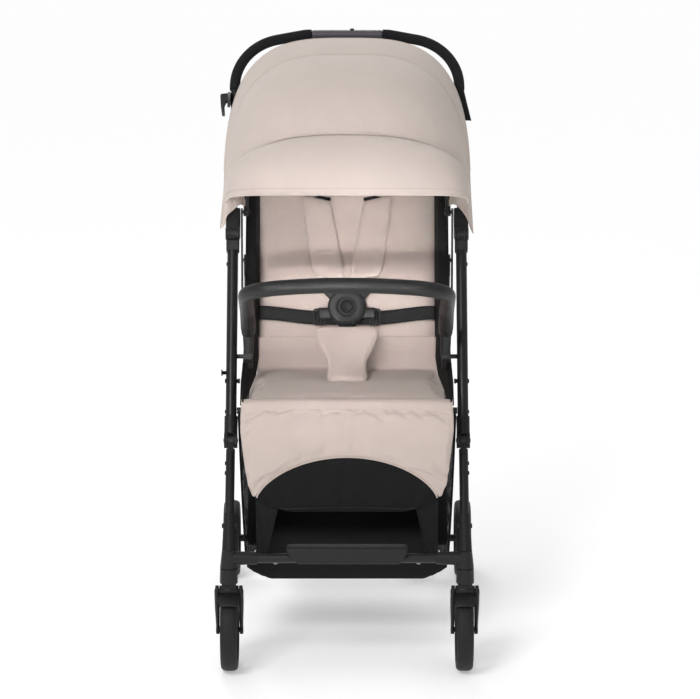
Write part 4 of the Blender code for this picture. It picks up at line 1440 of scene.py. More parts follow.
def on_back(x: float, up: float, front: float) -> Vector:
    """Give a place on the backrest.

    Args:
        x: Place across.
        up: Distance up it from its pivot.
        front: Distance in front of its frame's axis.

    Returns:
        The place in the row frame.
    """
    return RECLINE + Vector((x, 0, 0)) + BACK_UP * up + BACK_FRONT * front


def strap(
    name: str, look: Look, body: Body, route: Route, across: Vector, width: float, depth: float = 0.0014
) -> bpy.types.Object:
    """Lay a flat webbing along a route.

    Args:
        name: The piece's name.
        look: Its webbing.
        body: What it rides on.
        route: Its centreline.
        across: The direction of its width.
        width: Its width, in metres.
        depth: Its thickness, in metres.

    Returns:
        The strap.
    """
    even = resampled(route, 0.004)
    reach = spans(even)

    def place(share: float, along: float) -> Vector:
        return on_line(even, along) + across * ((share - 0.5) * width)

    shape = Shape()
    shape.grid(4, len(even) - 1, place, (width, reach[-1]))
    made = thick(shape.made(name, look), look, depth)
    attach(made, body.value)
    return made


def ladder_lock(
    name: str, body: Body, centre: Vector, along: Vector, out: Vector, size: tuple[float, float]
) -> bpy.types.Object:
    """Make a strap adjuster: a frame with two bars across it.

    Args:
        name: The piece's name.
        body: What it rides on.
        centre: Its middle.
        along: The strap's direction.
        out: The direction it faces.
        size: Its length along the strap and its width across it.

    Returns:
        The adjuster.
    """
    across = out.cross(along).normalized()
    length, width = size[0] / 2, size[1] / 2
    half = [(-1, 0), (-1, -0.8), (-0.8, -1), (0.8, -1), (1, -0.8)]
    corners = [*half, (1, 0.8), (0.8, 1), (-0.8, 1), (-1, 0.8), (-1, 0)]
    ring = [centre + along * (length * a) + across * (width * b) for a, b in corners]
    pieces = [swept("ring", ring, Look.PLASTIC, 0.0017, 12)]
    for spot in (-0.32, 0.32):
        middle = centre + along * (length * spot)
        bar = [middle - across * width, middle, middle + across * width]
        pieces.append(swept("bar", bar, Look.PLASTIC, 0.0013, 10))
    made = joined(name, pieces, Look.PLASTIC)
    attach(made, body.value)
    return made


class Seat:
    """The seat, the calf rest and the backrest."""

    FRONT, REAR = 0.0785, 0.3065

    def cushion(self) -> None:
        """Make the seat's cushion with its sewn front edge."""
        half = (0.174, (self.REAR - self.FRONT) / 2)
        centre_y = (self.REAR + self.FRONT) / 2

        def middle(x: float, y: float) -> Vector:
            drop = 0.0085 * max(0.0, -y / half[1]) ** 5 + 0.0025 * (x / half[0]) ** 4
            flare = 1 + 0.055 * smooth(-y / half[1], 0.45, 1.0)
            return side(centre_y + y, 0.4530 - drop, x * flare)

        pad = Pad(
            "seat_cushion", Look.SEAT, Body.MAIN, half, 0.016, 0.0285, middle, [], 0.0022, 0.0011, (84, 60),
            0.6, 0.0035
        )
        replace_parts(pad.build(), "seat_pad")
        corners = [side(0.095, 0.4675), side(0.083, 0.4660), side(0.0765, 0.4500), side(0.0740, 0.4330)]
        line = resampled(rounded(corners, 0.008, 5), 0.002)

        def fold(across: float, along: float) -> Vector:
            reach = 2 * across - 1
            return on_line(line, along) + Vector((0.186 * reach, 0.004 * reach**6, -0.004 * reach**6))

        seam = [fold(0.02 + 0.96 * i / 60, 0.10) + Vector((0, 0, 0.0004)) for i in range(61)]
        sewn = stitches("seat_stitches", resampled(seam, 0.004), Look.BEIGE_THREAD, Body.MAIN)
        Cloth(
            "seat_front_fold", Look.SEAT, Body.MAIN, fold, (64, len(line) - 1), ["seat_pad", "calf_rest"],
            depth=0.0014
        ).build([sewn])

    def calf(self) -> None:
        """Make the calf rest: pale above an arched edge, dark below it."""
        wide, seen, arch_r = 0.172, 0.160, 0.2033
        top, foot = side(0.0840, 0.4555), side(0.030, 0.243)
        down = (foot - top).normalized()
        out = Vector((0, down.z, -down.y))
        length = (foot - top).length

        outline = (
            (0.0, 0.1840), (0.03, 0.1868), (0.20, 0.1870), (0.35, 0.1832), (0.51, 0.1785), (0.63, 0.1730),
            (0.71, 0.1665), (0.757, 0.1600), (0.86, 0.1380)
        )

        def width(share: float) -> float:
            share = min(max(share, 0.0), 0.8599)
            for (a, low), (b, high) in zip(outline, outline[1:]):
                if share <= b:
                    return low + (high - low) * (share - a) / (b - a)
            return outline[-1][1]

        def surface(x: float, y: float) -> Vector:
            share = y / length
            reach = x / wide * width(share)
            bow = 0.0042 * math.sin(math.pi * min(1.0, max(0.0, share))) - 0.004 * (x / wide) ** 4
            return top + down * y + out * bow + Vector((reach, 0, 0))

        def arch(x: float) -> float:
            spot = x / wide * seen
            return 0.4016 + (arch_r - math.sqrt(arch_r**2 - spot**2)) / length

        def pale(x: float, y: float) -> Vector:
            return surface(-x, (0.5 + y / length) * length * arch(x) + 0.0006) + out * 0.0016

        seams = [[(-0.166, -length * 0.462), (0.166, -length * 0.462)]]
        pad = Pad(
            "calf_rest_cloth", Look.SEAT, Body.MAIN, (wide, length / 2), 0.016, 0.0100, pale, seams, 0.0022,
            0.0011, (84, 56), 0.4, 0.003
        )
        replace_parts(pad.build(), "calf_rest")
        for k, seam in enumerate(seams):
            line = resampled([pad.front(x, y, 0.0008) for x, y in dense(seam)], 0.004)
            stitches(f"calf_stitches_{k}", line, Look.BEIGE_THREAD, Body.MAIN)
        edge = [pale(wide * (i / 60 - 1), length / 2) + out * 0.0006 for i in range(2, 119)]
        binding = swept("calf_arch_binding", resampled(edge, 0.005), Look.SEAT, 0.0014, 10)
        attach(binding, Body.MAIN.value)

        half = 0.025

        def panel(x: float, y: float) -> Vector:
            corner = max(0.0, (abs(x) / wide * seen - 0.105) / 0.055)
            low, high = arch(x) - 0.045, 0.842 - 0.085 * corner**2
            return surface(-x * 0.992, length * (low + (high - low) * (y / half + 1) / 2)) - out * 0.0026

        lower = Pad(
            "calf_rest_lower", Look.DARK_CLOTH, Body.MAIN, (wide, half), 0.003, 0.0060, panel, [], 0.0015,
            0.0009, (72, 30), 0.3, 0.0015
        )
        lower.build()
        line = [lower.front(i * 0.0050, half * 0.86, 0.0008) for i in range(-27, 28)]
        stitches("calf_lower_stitches", resampled(line, 0.004), Look.DARK_THREAD, Body.MAIN)

    def backrest(self) -> None:
        """Make the backrest's pad, its dark sides and its strap slots."""
        low, high = 0.027, 0.410
        half = (0.163, (high - low) / 2)
        centre = (high + low) / 2

        def middle(x: float, y: float) -> Vector:
            return on_back(-x, centre + y, 0.0193 - 0.004 * (abs(x) / half[0]) ** 5)

        pad = Pad(
            "backrest_cushion", Look.SEAT, Body.BACKREST, half, 0.016, 0.0250, middle, [], 0.0024, 0.0012,
            (76, 84), 0.6, 0.004
        )
        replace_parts(pad.build(), "backrest_pad")
        for place in Side:
            sign = place.value
            steps = [(sign * (0.030 + 0.040 * i / 8), 0.330 - 0.0010 * abs(i - 4)) for i in range(9)]
            slot = [on_back(x, up, 0.0335) for x, up in steps]
            name = f"strap_slot_{place.label}"
            made = swept(name, slot, Look.DARK_CLOTH, 0.0030, 12, up=BACK_FRONT, flat=0.35)
            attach(made, Body.BACKREST.value)
            self.side_cloth(place)
        self.crease()

        def curtain(across: float, along: float) -> Vector:
            low_edge = on_back((across - 0.5) * 0.300, 0.404, 0.012)
            arch = Canopy.HANDLE.moved(-0.6, -0.0035).at(0.115 + 0.77 * across)
            sag = Vector((0, -0.006 * math.sin(math.pi * along), 0))
            place = low_edge.lerp(arch, along) + sag
            return place + Vector((0, 0.004 * noise.noise(place * 12.0), 0))

        Cloth(
            "canopy_curtain", Look.DARK_CLOTH, Body.CANOPY_REAR, curtain, (60, 26), ["canopy_rear_bow"],
            "hung"
        ).build()

    @staticmethod
    def side_cloth(place: Side) -> None:
        """Hang the dark cloth from the frame to the side of the seat and the backrest.

        Args:
            place: Which side it is on.
        """
        sign = place.value
        inner = [
            side(0.086, 0.4600, 0.1790), side(0.150, 0.4640, 0.1740), side(0.262, 0.4680, 0.1640),
            on_back(0.1585, 0.055, 0.0150), on_back(0.1580, 0.200, 0.0135), on_back(0.1580, 0.405, 0.0120),
        ]
        fold = [
            side(0.088, 0.4640, 0.1835), side(0.155, 0.4780, 0.1820), side(0.255, 0.4960, 0.1770),
            on_back(0.1665, 0.060, 0.0600), on_back(0.1665, 0.200, 0.0620), on_back(0.1665, 0.402, 0.0500),
        ]
        outer = [
            side(0.092, 0.4560, 0.1865), side(0.160, 0.4800, 0.1870), side(0.250, 0.5030, 0.1850),
            on_back(0.1835, 0.062, 0.0660), on_back(0.1825, 0.200, 0.0660), on_back(0.1820, 0.400, 0.0520),
        ]
        lines = [resampled(rounded(line, 0.020, 5), 0.002) for line in (inner, fold, outer)]

        def wing(across: float, along: float) -> Vector:
            a, b, c = (on_line(line, along) for line in lines)
            spot = a.lerp(b, across / 0.6) if across < 0.6 else b.lerp(c, (across - 0.6) / 0.4)
            wander = noise.noise(Vector((across * 2.2, along * 7, sign * 2.0)))
            sag = 0.0022 * wander * math.sin(math.pi * across)
            return Vector((sign * (spot.x - sag), spot.y, spot.z))

        hems = []
        for spot, word, radius in ((1.0, "hem", 0.0017), (0.6, "fold", 0.0011)):
            route = resampled([wing(spot, i / 80) for i in range(81)], 0.006)
            hem = swept(f"seat_side_{word}_{place.label}", route, Look.DARK_CLOTH, radius, 10)
            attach(hem, Body.MAIN.value)
            hems.append(hem)
        bend = Body.BACKREST, on_back(0, 0.2, 0.058), on_back(0, 0.2, 0.020)
        Cloth(
            f"seat_side_{place.label}", Look.DARK_CLOTH, Body.MAIN, wing, (20, 72), ["backrest_frame"],
            bend=bend
        ).build(hems)

    @staticmethod
    def crease() -> None:
        """Lay the strip of cloth that joins the seat to the backrest."""
        line = [
            side(0.272, 0.4664), side(0.293, 0.4690), on_back(0, 0.046, 0.0316), on_back(0, 0.072, 0.0330)
        ]
        line = resampled(rounded(line, 0.010, 5), 0.002)

        def strip(across: float, along: float) -> Vector:
            bow = 0.0016 * (2 * across - 1) ** 4
            return on_line(line, along) + Vector((0.163 * (2 * across - 1), 0, -bow))

        bend = Body.BACKREST, line[0], line[-1]
        Cloth(
            "seat_crease", Look.SEAT, Body.MAIN, strip, (48, len(line) - 1), ["seat_pad", "backrest_pad"],
            depth=0.0014, bend=bend
        ).build()

    def build(self) -> None:
        """Make the whole seat."""
        self.cushion()
        self.calf()
        self.backrest()


def dense(seam: Sequence[tuple[float, float]], steps: int = 24) -> list[tuple[float, float]]:
    """Put more places on a seam.

    Args:
        seam: The seam's corners on the flat cloth.
        steps: Places per segment.

    Returns:
        The denser seam.
    """
    made = []
    for (ax, ay), (bx, by) in zip(seam, seam[1:]):
        made += [(ax + (bx - ax) * i / steps, ay + (by - ay) * i / steps) for i in range(steps)]
    return [*made, seam[-1]]


class Harness:
    """Shoulder pads, belt, crotch pad and round buckle."""

    UP = 0.1238
    BELT_UP = 0.1056
    FACE = 0.0335

    def shoulder(self, place: Side) -> None:
        """Make one shoulder pad with its webbing.

        Args:
            place: Which side it is on.
        """
        sign = place.value

        def middle(x: float, y: float) -> Vector:
            share = y / 0.1490 + 0.5
            taper = 1.0 - 0.13 * share
            across = sign * (0.0330 + 0.0235 * share) - x * taper
            return on_back(across, 0.1780 + 0.1490 * share - sign * x * 0.20, 0.0410)

        rim = [
            (-0.0235, -0.0628), (-0.0235, 0.0628), (-0.019, 0.0663), (0.019, 0.0663), (0.0235, 0.0628),
            (0.0235, -0.0628), (0.019, -0.0663), (-0.019, -0.0663), (-0.0235, -0.0628)
        ]
        pad = Pad(
            f"shoulder_cushion_{place.label}", Look.SEAT, Body.BACKREST, (0.0305, 0.0745), 0.012, 0.0125,
            middle, [rim], 0.0016, 0.0006, (30, 52), 0.5, 0.0025
        )
        made = pad.build()
        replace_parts(made, f"shoulder_pad_{place.label}")
        line = resampled([pad.front(x, y, 0.0007) for x, y in dense(rim, 12)], 0.004)
        stitches(f"shoulder_stitches_{place.label}", line, Look.BEIGE_THREAD, Body.BACKREST, 0.0026)
        top = [
            on_back(sign * 0.0550, 0.318, 0.0400), on_back(sign * 0.0530, 0.325, 0.0390),
            on_back(sign * 0.0515, 0.3295, 0.0325)
        ]
        strap(f"shoulder_strap_{place.label}", Look.STRAP, Body.BACKREST, top, ACROSS, 0.025)
        low = [
            on_back(sign * 0.0330, 0.186, 0.0370), on_back(sign * 0.0250, 0.170, 0.0385),
            on_back(sign * 0.0190, 0.152, 0.0405)
        ]
        strap(f"shoulder_strap_low_{place.label}", Look.STRAP, Body.MAIN, low, ACROSS, 0.020)

    def belt(self) -> None:
        """Lay the waist belt with its adjusters."""

        def band(across: float, along: float) -> Vector:
            x = -0.160 + 0.320 * across
            side_on = smooth(abs(x), 0.05, 0.16)
            front = self.FACE + 0.0005 + 0.0022 * (1 - side_on)
            return on_back(x, self.BELT_UP + 0.0125 * (2 * along - 1) + 0.010 * side_on, front)

        locks = []
        for place in Side:
            centre = on_back(place.value * 0.0500, self.BELT_UP + 0.001, self.FACE + 0.0052)
            name = f"belt_adjuster_{place.label}"
            locks.append(ladder_lock(name, Body.MAIN, centre, ACROSS, BACK_FRONT, (0.020, 0.028)))
        made = Cloth(
            "waist_belt_webbing", Look.STRAP, Body.MAIN, band, (80, 6), ["backrest_pad"], depth=0.0016
        ).build(locks)
        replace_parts(made, "waist_belt")

    def crotch(self) -> None:
        """Make the crotch pad, its strap and its adjuster."""
        foot, head = side(0.2010, SEAT_TOP + 0.0014), side(0.2870, 0.5500)
        rise = (head - foot).normalized()
        out = Vector((0, -rise.z, rise.y))
        length = (head - foot).length

        def width(share: float) -> float:
            waist = 0.0040 * math.sin(math.pi * min(1.0, share * 1.6))
            return 0.0385 - waist + 0.0185 * smooth(share, 0.35, 0.95)

        def middle(x: float, y: float) -> Vector:
            share = y / length + 0.5
            sag = -0.006 * math.sin(math.pi * share)
            return foot + rise * (share * length) + out * sag + Vector((-x / 0.045 * width(share), 0, 0))

        rim = [
            (-0.037, -0.042), (-0.037, 0.046), (-0.030, 0.0525), (0.030, 0.0525), (0.037, 0.046),
            (0.037, -0.042)
        ]
        seams = [rim, [(-0.036, 0.030), (0.036, 0.030)]]
        pad = Pad(
            "crotch_cushion", Look.SEAT, Body.MAIN, (0.045, length / 2), 0.014, 0.0115, middle, seams,
            0.0018, 0.0007, (44, 56), 0.5, 0.0025
        )
        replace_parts(pad.build(), "crotch_pad")
        for k, seam in enumerate(seams):
            line = resampled([pad.front(x, y, 0.0007) for x, y in dense(seam, 12)], 0.004)
            stitches(f"crotch_stitches_{k}", line, Look.BEIGE_THREAD, Body.MAIN, 0.0026)
        tongue = on_back(0, self.UP - 0.046, self.FACE + 0.009)
        bend = head + out * 0.012 + rise * 0.006
        line = rounded([pad.front(0, 0.050, 0.0030), bend, tongue], 0.010, 6)
        strap("crotch_strap", Look.STRAP, Body.MAIN, line, ACROSS, 0.0235)
        lock = bend.lerp(tongue, 0.30) + out * 0.0012
        along, face = (tongue - bend).normalized(), (out + BACK_FRONT).normalized()
        ladder_lock("crotch_adjuster", Body.MAIN, lock, along, face, (0.018, 0.029))

    def buckle(self) -> None:
        """Make the round five-point buckle and its button."""
        back = self.FACE + 0.0029
        centre = on_back(0, self.UP, 0)
        profile = [
            (back + up, ring) for up, ring in (
                (0.0, 0.0), (0.0, 0.0335), (0.0015, 0.0352), (0.0060, 0.0352), (0.0095, 0.0335),
                (0.0112, 0.0305), (0.0118, 0.0265), (0.0120, 0.0205), (0.0117, 0.0182), (0.0102, 0.0172),
                (0.0102, 0.0148), (0.0117, 0.0138), (0.0119, 0.0118), (0.0112, 0.0109), (0.0062, 0.0105),
                (0.0062, 0.0),
            )
        ]
        pieces = [turned("disc", Look.PLASTIC, centre, BACK_FRONT, profile, 64)]
        for place in Side:
            for up, turn, reach, radius in ((-0.0182, 0.0, 0.034, 0.0105), (0.026, 0.75, 0.026, 0.0095)):
                along = Vector((place.value * math.cos(turn), 0, 0)) + BACK_UP * math.sin(turn)
                start = on_back(place.value * 0.018, self.UP + up * 0.6, back + 0.0050)
                tab = [start, start + along * (reach / 2), start + along * reach]
                pieces.append(swept("tab", tab, Look.PLASTIC, radius, 20, up=BACK_FRONT, flat=0.33))
        low = on_back(0, self.UP - 0.028, back + 0.0050)
        tongue = [low, low - BACK_UP * 0.010, low - BACK_UP * 0.020]
        pieces.append(swept("tongue", tongue, Look.PLASTIC, 0.0125, 20, up=BACK_FRONT, flat=0.25))
        made = joined("buckle_body", pieces, Look.PLASTIC)
        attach(made, Body.MAIN.value)
        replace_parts(made, "buckle")
        face = back + 0.0088
        button = [
            (face + up, ring) for up, ring in (
                (0.0, 0.0), (0.0, 0.0099), (0.0040, 0.0099), (0.0048, 0.0090), (0.0050, 0.0072),
                (0.0044, 0.0060), (0.0042, 0.0),
            )
        ]
        pressed = turned("buckle_press", Look.CASTING, centre, BACK_FRONT, button, 48)
        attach(pressed, Body.BUTTON.value)
        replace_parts(pressed, "buckle_button")

    def build(self) -> None:
        """Make the whole harness."""
        for place in Side:
            self.shoulder(place)
        self.belt()
        self.crotch()
        self.buckle()


class Basket:
    """The cloth basket: a dark tray with net corners, hung from the seat frame."""

    def build(self) -> None:
        """Make the basket from one sheet for each wall."""
        hem = 0.428 - 0.0068
        x, floor, lip = 0.1615, 0.128, 0.166
        front, rear = 0.128, 0.480
        section = [
            side(front, lip), side(front + 0.002, floor + 0.010), side(front + 0.014, floor - 0.0090),
            side(front + 0.110, floor + 0.0012), side(rear - 0.020, floor + 0.0012),
            side(rear, floor + 0.030), side(rear + 0.004, lip + 0.060),
        ]
        line = resampled(rounded(section, 0.006, 4), 0.008)

        def flare(y: float, z: float) -> float:
            ease = 1 - smooth(y + HALF_BASE, 0.13, 0.36)
            return ease * (0.0150 + 0.0165 * min(1.0, max(0.0, (z - floor) / 0.293)) ** 0.7)

        def tray(across: float, along: float) -> Vector:
            spot = on_line(line, along)
            ease = 1 - smooth(spot.y + HALF_BASE, 0.15, 0.40)
            reach = (across - 0.5) * 2 * (x + flare(spot.y, spot.z))
            sag = -0.0035 * math.sin(math.pi * across) * math.sin(math.pi * along)
            ripple = 0.0016 * noise.noise(Vector((across * 7, along * 9, 1.0)))
            base = floor - 0.0120 + 0.0296 * (max(0.0, abs(reach) - 0.112) / 0.066) ** 1.8
            height = spot.z + max(sag + ripple, -0.0045) * (1 - ease)
            if ease > 0 and base > height:
                height += (base - height) * ease
            return Vector((reach, spot.y, height))

        rim = swept("basket_front_hem", edge_of(tray, 0.0, 50), Look.DARK_CLOTH, 0.0026, 12)
        back = swept("basket_rear_hem", edge_of(tray, 1.0, 50), Look.DARK_CLOTH, 0.0024, 12)
        for piece in (rim, back):
            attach(piece, Body.MAIN.value)
        made = Cloth(
            "basket_tray", Look.DARK_CLOTH, Body.MAIN, tray, (60, len(line) - 1), ["basket"], "hung"
        ).build([rim, back])
        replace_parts(made, "basket")
        for place in Side:
            self.wall(place, (front, rear), (floor, lip, hem), flare)
            self.gusset(place)

    @staticmethod
    def wall(
        place: Side, ends: tuple[float, float], heights: tuple[float, float, float],
        flare: Callable[[float, float], float]
    ) -> None:
        """Hang one net wall from the seat frame.

        Args:
            place: Which side it is on.
            ends: The tray's front and rear.
            heights: The tray's floor, its front lip and the hem at the seat frame.
            flare: How far the wall stands out at a y and a height.
        """
        (front, rear), (floor, lip, hem), sign = ends, heights, place.value
        outline = [(front + 0.001, lip), (0.150, hem), (0.318, hem), (rear + 0.003, lip + 0.060)]

        def wall(across: float, along: float) -> Vector:
            y_low = front + 0.004 + (rear - 0.006 - front) * across
            z_low = floor + 0.002 + 0.036 * smooth(across, 0.93, 1.0)
            z_low += 0.024 * (1 - smooth(across, 0.0, 0.55))
            (y0, z0), (y1, z1), (y2, z2), (y3, z3) = outline
            if across < 0.10:
                y_high, z_high = y0 + (y1 - y0) * across / 0.10, z0 + (z1 - z0) * across / 0.10
            elif across < 0.55:
                y_high, z_high = y1 + (y2 - y1) * (across - 0.10) / 0.45, z1
            else:
                share = (across - 0.55) / 0.45
                y_high, z_high = y2 + (y3 - y2) * share, z2 + (z3 - z2) * share
            y, z = y_low + (y_high - y_low) * along, z_low + (z_high - z_low) * along
            belly = 0.0030 * math.sin(math.pi * across) * math.sin(math.pi * along)
            fold = 0.0022 * noise.noise(Vector((across * 6, along * 4, sign * 3.0)))
            spot = side(y, z)
            spot.x = sign * (0.1615 + flare(spot.y, z) + belly + fold * math.sin(math.pi * along))
            return spot

        edge = resampled(edge_of(wall, 1.0, 90), 0.006)
        hem_piece = swept(f"basket_side_hem_{place.label}", edge, Look.DARK_CLOTH, 0.0020, 10)
        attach(hem_piece, Body.MAIN.value)
        Cloth(
            f"basket_side_{place.label}", Look.DARK_NET, Body.MAIN, wall, (70, 40), ["seat_frame"], "hung",
            0.0008
        ).build([hem_piece])
        stud = side(front - 0.0010, lip - 0.0095, sign * 0.128)
        head = dome_head(f"basket_stud_{place.label}", Look.METAL, stud, Vector((0, -1, 0)), 0.0048, 0.0024)
        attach(head, Body.MAIN.value)

    @staticmethod
    def gusset(place: Side) -> None:
        """Hang the dark corner that joins the calf rest to the basket's lip.

        Args:
            place: Which side it is on.
        """
        sign = place.value
        outer = side(0.0460, 0.2960, 0.1600), side(0.1270, 0.1640, 0.1620)
        inner = side(0.0430, 0.2800, 0.1220), side(0.1270, 0.1640, 0.1450)

        def corner(across: float, along: float) -> Vector:
            spot = outer[0].lerp(outer[1], along).lerp(inner[0].lerp(inner[1], along), across)
            spot.y += 0.006 * math.sin(math.pi * along)
            spot.y += 0.002 * noise.noise(Vector((across * 4, along * 5, sign)))
            return Vector((sign * spot.x, spot.y, spot.z))

        edge = [corner(1.0, i / 24) for i in range(25)]
        hem = swept(f"basket_corner_hem_{place.label}", edge, Look.DARK_CLOTH, 0.0012, 10)
        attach(hem, Body.MAIN.value)
        Cloth(
            f"basket_corner_{place.label}", Look.DARK_CLOTH, Body.MAIN, corner, (14, 30),
            ["calf_rest", "basket"], "hung"
        ).build([hem])


class Frame:
    """The tubes, grips, bumper bar and wheels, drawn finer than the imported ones."""

    @staticmethod
    def tube(
        name: str, node: str, body: Body, ends: tuple[Vector, Vector], radius: float,
        extras: Iterable[bpy.types.Object]
    ) -> None:
        """Make a straight tube with what is fixed to it.

        Args:
            name: The piece's name.
            node: The CAD node that it stands for.
            body: What it rides on.
            ends: Its two ends.
            radius: Its radius.
            extras: Pieces fixed to it, which are joined in.
        """
        a, b = ends
        route = [a.lerp(b, i / 24) for i in range(25)]
        made = joined(name, [swept(name, route, Look.TUBE, radius, 32, dome=0.12), *extras], Look.TUBE)
        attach(made, body.value)
        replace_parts(made, node)

    def middle(self) -> None:
        """Make the middle tubes with their rivets, pins and stud."""
        for place in Side:
            sign = place.value
            shift = Vector((sign * FRAME_X, 0, 0))
            knee, joint = KNEE + shift, UPPER_JOINT + shift
            out = Vector((sign, 0, 0))
            extras = []
            skin = out * (TUBE_R - 0.0004)
            for spot in (0.053, 0.330):
                extras.append(
                    dome_head("rivet", Look.TUBE, knee + MID_UP * spot + skin, out, 0.0038, 0.0020)
                )
            knob = knee + MID_UP * 0.110
            profile = [
                (0.0, 0.0), (0.0, 0.0036), (TUBE_R + 0.0018, 0.0036), (TUBE_R + 0.0020, 0.0046),
                (TUBE_R + 0.0048, 0.0046), (TUBE_R + 0.0055, 0.0038), (TUBE_R + 0.0055, 0.0),
            ]
            extras.append(turned("knob", Look.TUBE, knob, -out, profile, 24))
            extras.append(dome_head("cap", Look.TUBE, knob + skin, out, 0.0043, 0.0026))
            reach = FRAME_X - BUMPER_X + 0.0032
            profile = [(0.0, 0.0), (0.0, 0.0040), (reach - 0.0006, 0.0040), (reach, 0.0034), (reach, 0.0)]
            extras.append(turned("pin", Look.TUBE, knee + MID_UP * BUMPER_UP, -out, profile, 24))
            if place is Side.LEFT:
                profile = [
                    (0.0, 0.0), (0.0, 0.0032), (TUBE_R + 0.0058, 0.0032), (TUBE_R + 0.0062, 0.0060),
                    (TUBE_R + 0.0078, 0.0060), (TUBE_R + 0.0084, 0.0052), (TUBE_R + 0.0084, 0.0),
                ]
                extras.append(turned("stud", Look.TUBE, joint - MID_UP * STUD_DOWN, out, profile, 28))
            ends = (knee + MID_UP * 0.019, joint - MID_UP * 0.018)
            node = f"middle_tube_{place.label}"
            self.tube(f"{node}_paint", node, Body.MAIN, ends, TUBE_R, extras)

    @staticmethod
    def small_parts() -> None:
        """Make the moulded footrest on the cross tube and the hook beside the handle."""
        front = [
            (-0.1055, 0.0205), (-0.1000, 0.0225), (0.1000, 0.0225), (0.1055, 0.0205), (0.1035, 0.0100),
            (0.0920, -0.0065), (-0.0860, -0.0065), (-0.1020, 0.0100),
        ]
        outline = [SWIVEL + Vector((x, -0.0170, z)) for x, z in front]
        rest = slab("footrest_moulding", Look.FOOTREST, outline, Vector((0, 0.0300, 0)), 0.0040)
        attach(rest, Body.FRONT_LEGS.value)
        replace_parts(rest, "footrest_pad")
        at = HANDLE_FOOT + HANDLE_UP * HOOK_UP - HANDLE_FRONT * 0.003
        claw = [
            (-0.2125, 0.009), (-0.2310, 0.007), (-0.2325, 0.004), (-0.2315, -0.014), (-0.2290, -0.034),
            (-0.2235, -0.034), (-0.2245, -0.016), (-0.2215, -0.008), (-0.2125, -0.006),
        ]
        outline = [at + Vector((x, 0, 0)) + HANDLE_UP * up for x, up in claw]
        hook = slab("storage_hook_claw", Look.PLASTIC, outline, HANDLE_FRONT * 0.0120, 0.0012)
        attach(hook, "storage_hook")

    def cross(self) -> None:
        """Make the front cross tube between the corner castings."""
        reach = FRAME_X - 0.036
        ends = (SWIVEL - Vector((reach, 0, 0)), SWIVEL + Vector((reach, 0, 0)))
        self.tube("front_cross_bar", "front_cross_tube", Body.FRONT_LEGS, ends, 0.0085, [])

    def handle_route(self) -> list[Vector]:
        """Give the push handle's centreline.

        Returns:
            The route from its left foot to its right one.
        """
        foot = Vector((-FRAME_X, HANDLE_FOOT.y, HANDLE_FOOT.z)) + HANDLE_UP * HANDLE_BEND_FOOT
        bend = HANDLE_TOP - HANDLE_UP * 0.026
        corners = [
            foot, Vector((-FRAME_X, bend.y, bend.z)),
            Vector((-COVER_HALF - 0.012, HANDLE_TOP.y, HANDLE_TOP.z))
        ]
        return mirrored(rounded(corners, 0.096, 22))

    def handle(self) -> None:
        """Make the push handle, its grips and its bare centre."""
        route = resampled(self.handle_route(), 0.006)
        hoop = swept("handle_tube_paint", route, Look.TUBE, HANDLE_TUBE_R, 28, dome=0.0)
        studs = []
        for place in Side:
            for spot in (0.268, 0.282):
                at = HANDLE_FOOT + HANDLE_UP * spot + Vector((place.value * FRAME_X, 0, 0))
                at += HANDLE_FRONT * (HANDLE_TUBE_R - 0.0004)
                studs.append(dome_head("rivet", Look.TUBE, at, HANDLE_FRONT, 0.0032, 0.0018))
        hoop = joined("handle_tube_paint", [hoop, *studs], Look.TUBE)
        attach(hoop, Body.HANDLE.value)
        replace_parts(hoop, "handle_tube")
        reach = spans(route)
        foot_at = GRIP_FOOT - HANDLE_BEND_FOOT
        for place in Side:
            ordered = route if place is Side.LEFT else list(reversed(route))
            end_at = COVER_HALF + 0.003
            part = [p for p, r in zip(ordered, reach) if r > foot_at and p.x * place.value > end_at]
            start = HANDLE_FOOT + HANDLE_UP * GRIP_FOOT + Vector((place.value * FRAME_X, 0, 0))
            end = Vector((place.value * (COVER_HALF + 0.0006), HANDLE_TOP.y, HANDLE_TOP.z))
            line = resampled([start, *part, end], 0.004)
            grip = swept(f"grip_{place.label}_foam", line, Look.FOAM, GRIP_R, 32, dome=0.22)
            under = [p - HANDLE_FRONT * (GRIP_R - 0.0002) for p in line[3:-3]]
            seam = swept("seam", under, Look.FOAM, 0.0006, 6)
            grip = joined(f"grip_{place.label}_foam", [grip, seam], Look.FOAM)
            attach(grip, Body.HANDLE.value)
            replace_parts(grip, f"grip_{place.label}")
        line = [HANDLE_TOP + Vector((COVER_HALF * (i / 20 - 1), 0, 0)) for i in range(41)]

        def shell(at: float) -> float:
            edge = min(at, 2 * COVER_HALF - at)
            groove = 0.0005 * math.exp(-(((edge - 0.009) / 0.0012) ** 2))
            return COVER_R - 0.0006 * (1 - smooth(edge, 0.0, 0.004)) - groove

        cover = swept("handle_centre_shell", line, Look.COVER, shell, 40, dome=0.08)
        pieces = [cover]
        for x in (-0.030, 0.030):
            centre, turns = HANDLE_TOP + Vector((x, 0, 0)), [i * 0.15 for i in range(-7, 8)]
            ways = [HANDLE_FRONT * math.cos(a) + HANDLE_UP * math.sin(a) for a in turns]
            rib = [centre + way * (COVER_R - 0.0001) for way in ways]
            pieces.append(swept("rib", rib, Look.COVER, 0.0005, 8))
        made = joined("handle_centre_shell", pieces, Look.COVER)
        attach(made, Body.HANDLE.value)
        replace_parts(made, "handle_centre_cover")

    def tag(self) -> None:
        """Fold the cloth tag round the handle's right end, left plain."""
        middle = HANDLE_FOOT + HANDLE_UP * TAG_UP + Vector((FRAME_X, 0, 0))

